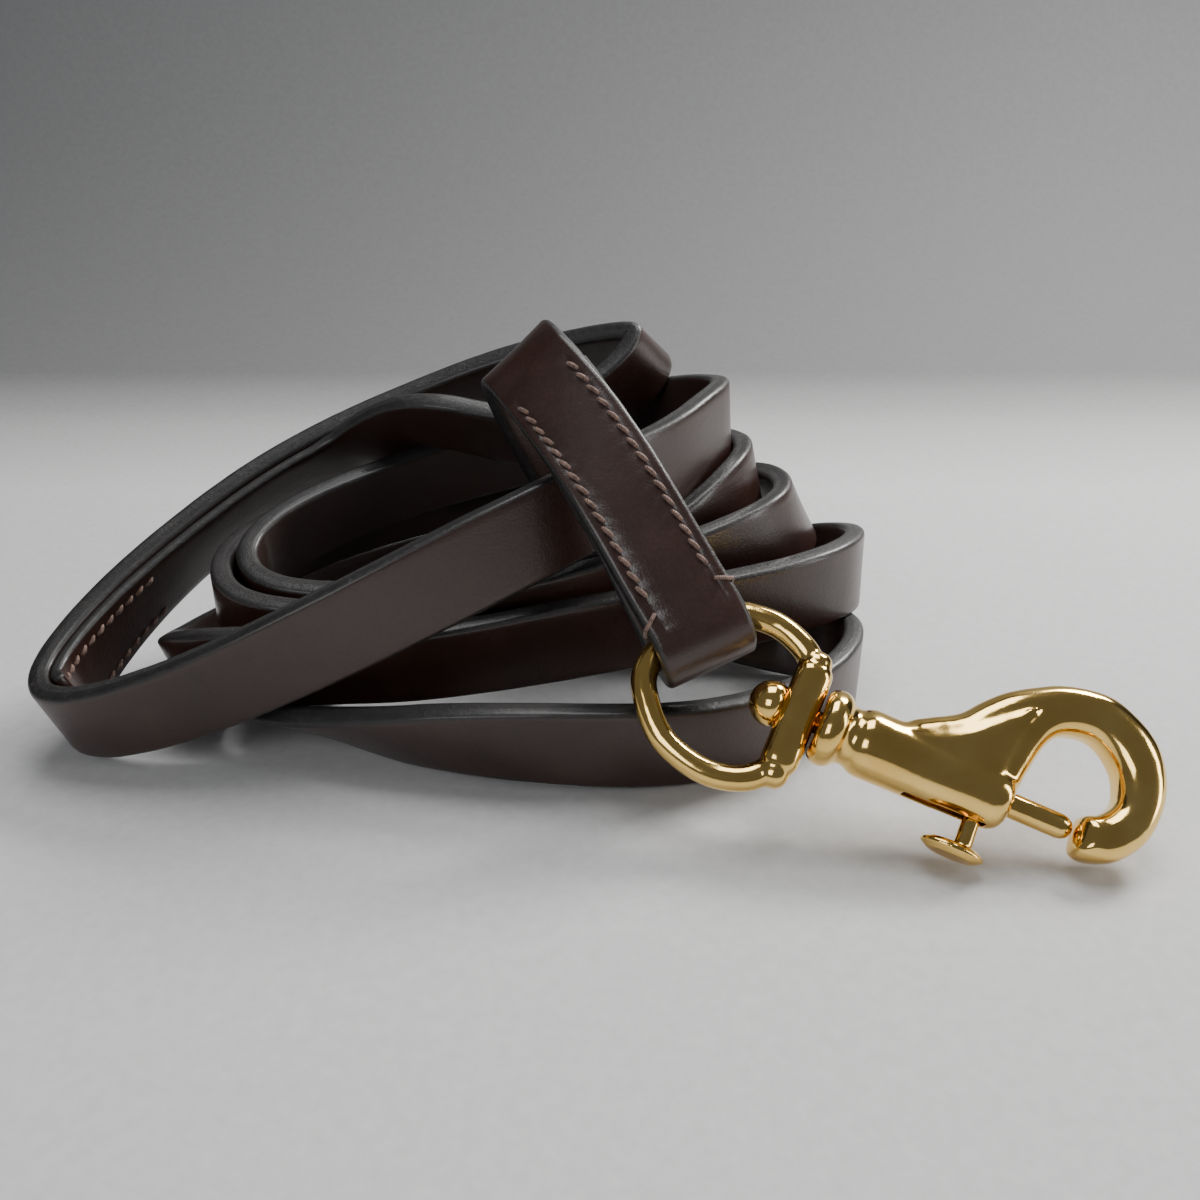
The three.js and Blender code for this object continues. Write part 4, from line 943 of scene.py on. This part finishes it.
bm.from_mesh(pm2)
bpy.data.meshes.remove(pm2)
lathe(bm, [(-27.6, 0), (-27.6, 5.0), (-27.2, 5.9), (-26.4, 6.45), (-24.8, 6.5), (-23.8, 6.0), (-23.2, 5.2), (-22.4, 4.75), (-21.4, 4.9), (-20.6, 5.5), (-19.6, 5.75), (-10, 5.6), (1.5, 5.3), (3.0, 4.9), (3.9, 4.1), (4.3, 3.2), (4.3, 0)])
cut1 = bm_new()
lathe(cut1, [(-19, 0), (-19, 2.2), (13, 2.2), (13, 0)], 48)
cut2 = bm_new()
rounded_box(cut2, (-11.6, -2.0, -1.85), (1.8, AXIS_T, 1.85), 0.4, 2)
body = finish_metal("brass_snap_body", bm, VOX, 34, (cut1, cut2))
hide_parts("snap_body")
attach(body, "snap")

bm = bm_new()
lathe(bm, [(-11.4, 0), (-11.4, 1.6), (-11.1, 2.05), (12.4, 2.05), (13.2, 1.9), (13.9, 1.45), (14.3, 0.8), (14.45, 0)], 48)
bolt = finish_metal("brass_bolt", bm, 0, 0)
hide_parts("snap_bolt")
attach(bolt, "bolt")

bm = bm_new()
capo = [(-1.5 + 5.0 * math.cos(2 * math.pi * k / 48), 3.5 * math.sin(2 * math.pi * k / 48)) for k in range(48)]
top = [bm.verts.new((x, -1.0, z)) for x, z in [(-1.5 + (x + 1.5) * 0.8, z * 0.8) for x, z in capo]]
mid = [bm.verts.new((x, -1.7, z)) for x, z in capo]
mid2 = [bm.verts.new((x, -2.2, z)) for x, z in capo]
bot = [bm.verts.new((-1.5 + (x + 1.5) * 0.72, -3.0, z * 0.72)) for x, z in capo]
for a, b in ((top, mid), (mid, mid2), (mid2, bot)):
    for k in range(48):
        bm.faces.new((a[k], a[(k + 1) % 48], b[(k + 1) % 48], b[k]))
bm.faces.new(top)
bm.faces.new(list(reversed(bot)))
lathe(bm, [(-1.6, 0), (-1.6, 1.9), (-0.9, 1.5), (0.2, 1.42), (AXIS_T - 2.2, 1.42), (AXIS_T - 2.2, 0)], 32, (-0.2, 0, 0), "T")
knob = finish_metal("brass_thumb_knob", bm, VOX * 0.75, 3)
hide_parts("thumb_knob")
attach(knob, "bolt")

# ------------------------------------------------------------------ stage, light, camera
FLOOR = floor_material()
bm = bm_new()
prof = [(-1.6, 0.0), (0.20, 0.0)]
for k in range(1, 13):
    a = math.pi / 2 * k / 12
    prof.append((0.20 + 0.22 * math.sin(a), 0.22 - 0.22 * math.cos(a)))
prof.append((0.42, 1.6))
rows = [[bm.verts.new((x, y, z - 0.0002)) for x in (-2.0, 2.0)] for y, z in prof]
for a, b in zip(rows, rows[1:]):
    bm.faces.new((a[0], a[1], b[1], b[0]))
fm = bpy.data.meshes.new("paper")
bm.to_mesh(fm)
bm.free()
smooth_all(fm)
floor = link("paper", fm, FLOOR)


def area(name, loc, target, size, power, color=(1, 1, 1), size_y=None):
    li = bpy.data.lights.new(name, "AREA")
    li.shape = "RECTANGLE"
    li.size = size
    li.size_y = size_y or size
    li.energy = power
    li.color = color
    o = bpy.data.objects.new(name, li)
    o.location = loc
    o.rotation_euler = (Vector(target) - Vector(loc)).to_track_quat("-Z", "Y").to_euler()
    scene.collection.objects.link(o)
    return o


area("key", (0.42, 0.34, 0.50), (0, 0, 0.02), 0.26, 7.0, (1, 0.985, 0.96), 0.22)
area("top", (0.02, 0.10, 0.62), (0, 0, 0.02), 0.34, 2.4)
area("front_fill", (-0.30, -0.60, 0.42), (0, 0, 0.03), 0.34, 1.5, (0.97, 0.98, 1.0))
area("right_strip", (0.50, -0.16, 0.16), (0.04, 0, 0.03), 0.10, 1.0, (1, 1, 1), 0.40)


wd = bpy.data.worlds.new("soft")
wd.use_nodes = True
bg = wd.node_tree.nodes["Background"]
bg.inputs["Color"].default_value = (0.80, 0.82, 0.85, 1)
bg.inputs["Strength"].default_value = 0.16
scene.world = wd

cam = bpy.data.cameras.new("cam")
cam.lens = 33.0
cam.sensor_width = 36.0
cam.clip_start = 0.01
co = bpy.data.objects.new("cam", cam)
co.location = (0.006653, -0.188496, 0.107166)
co.rotation_euler = (math.radians(66.0), 0, 0)
scene.collection.objects.link(co)
scene.camera = co
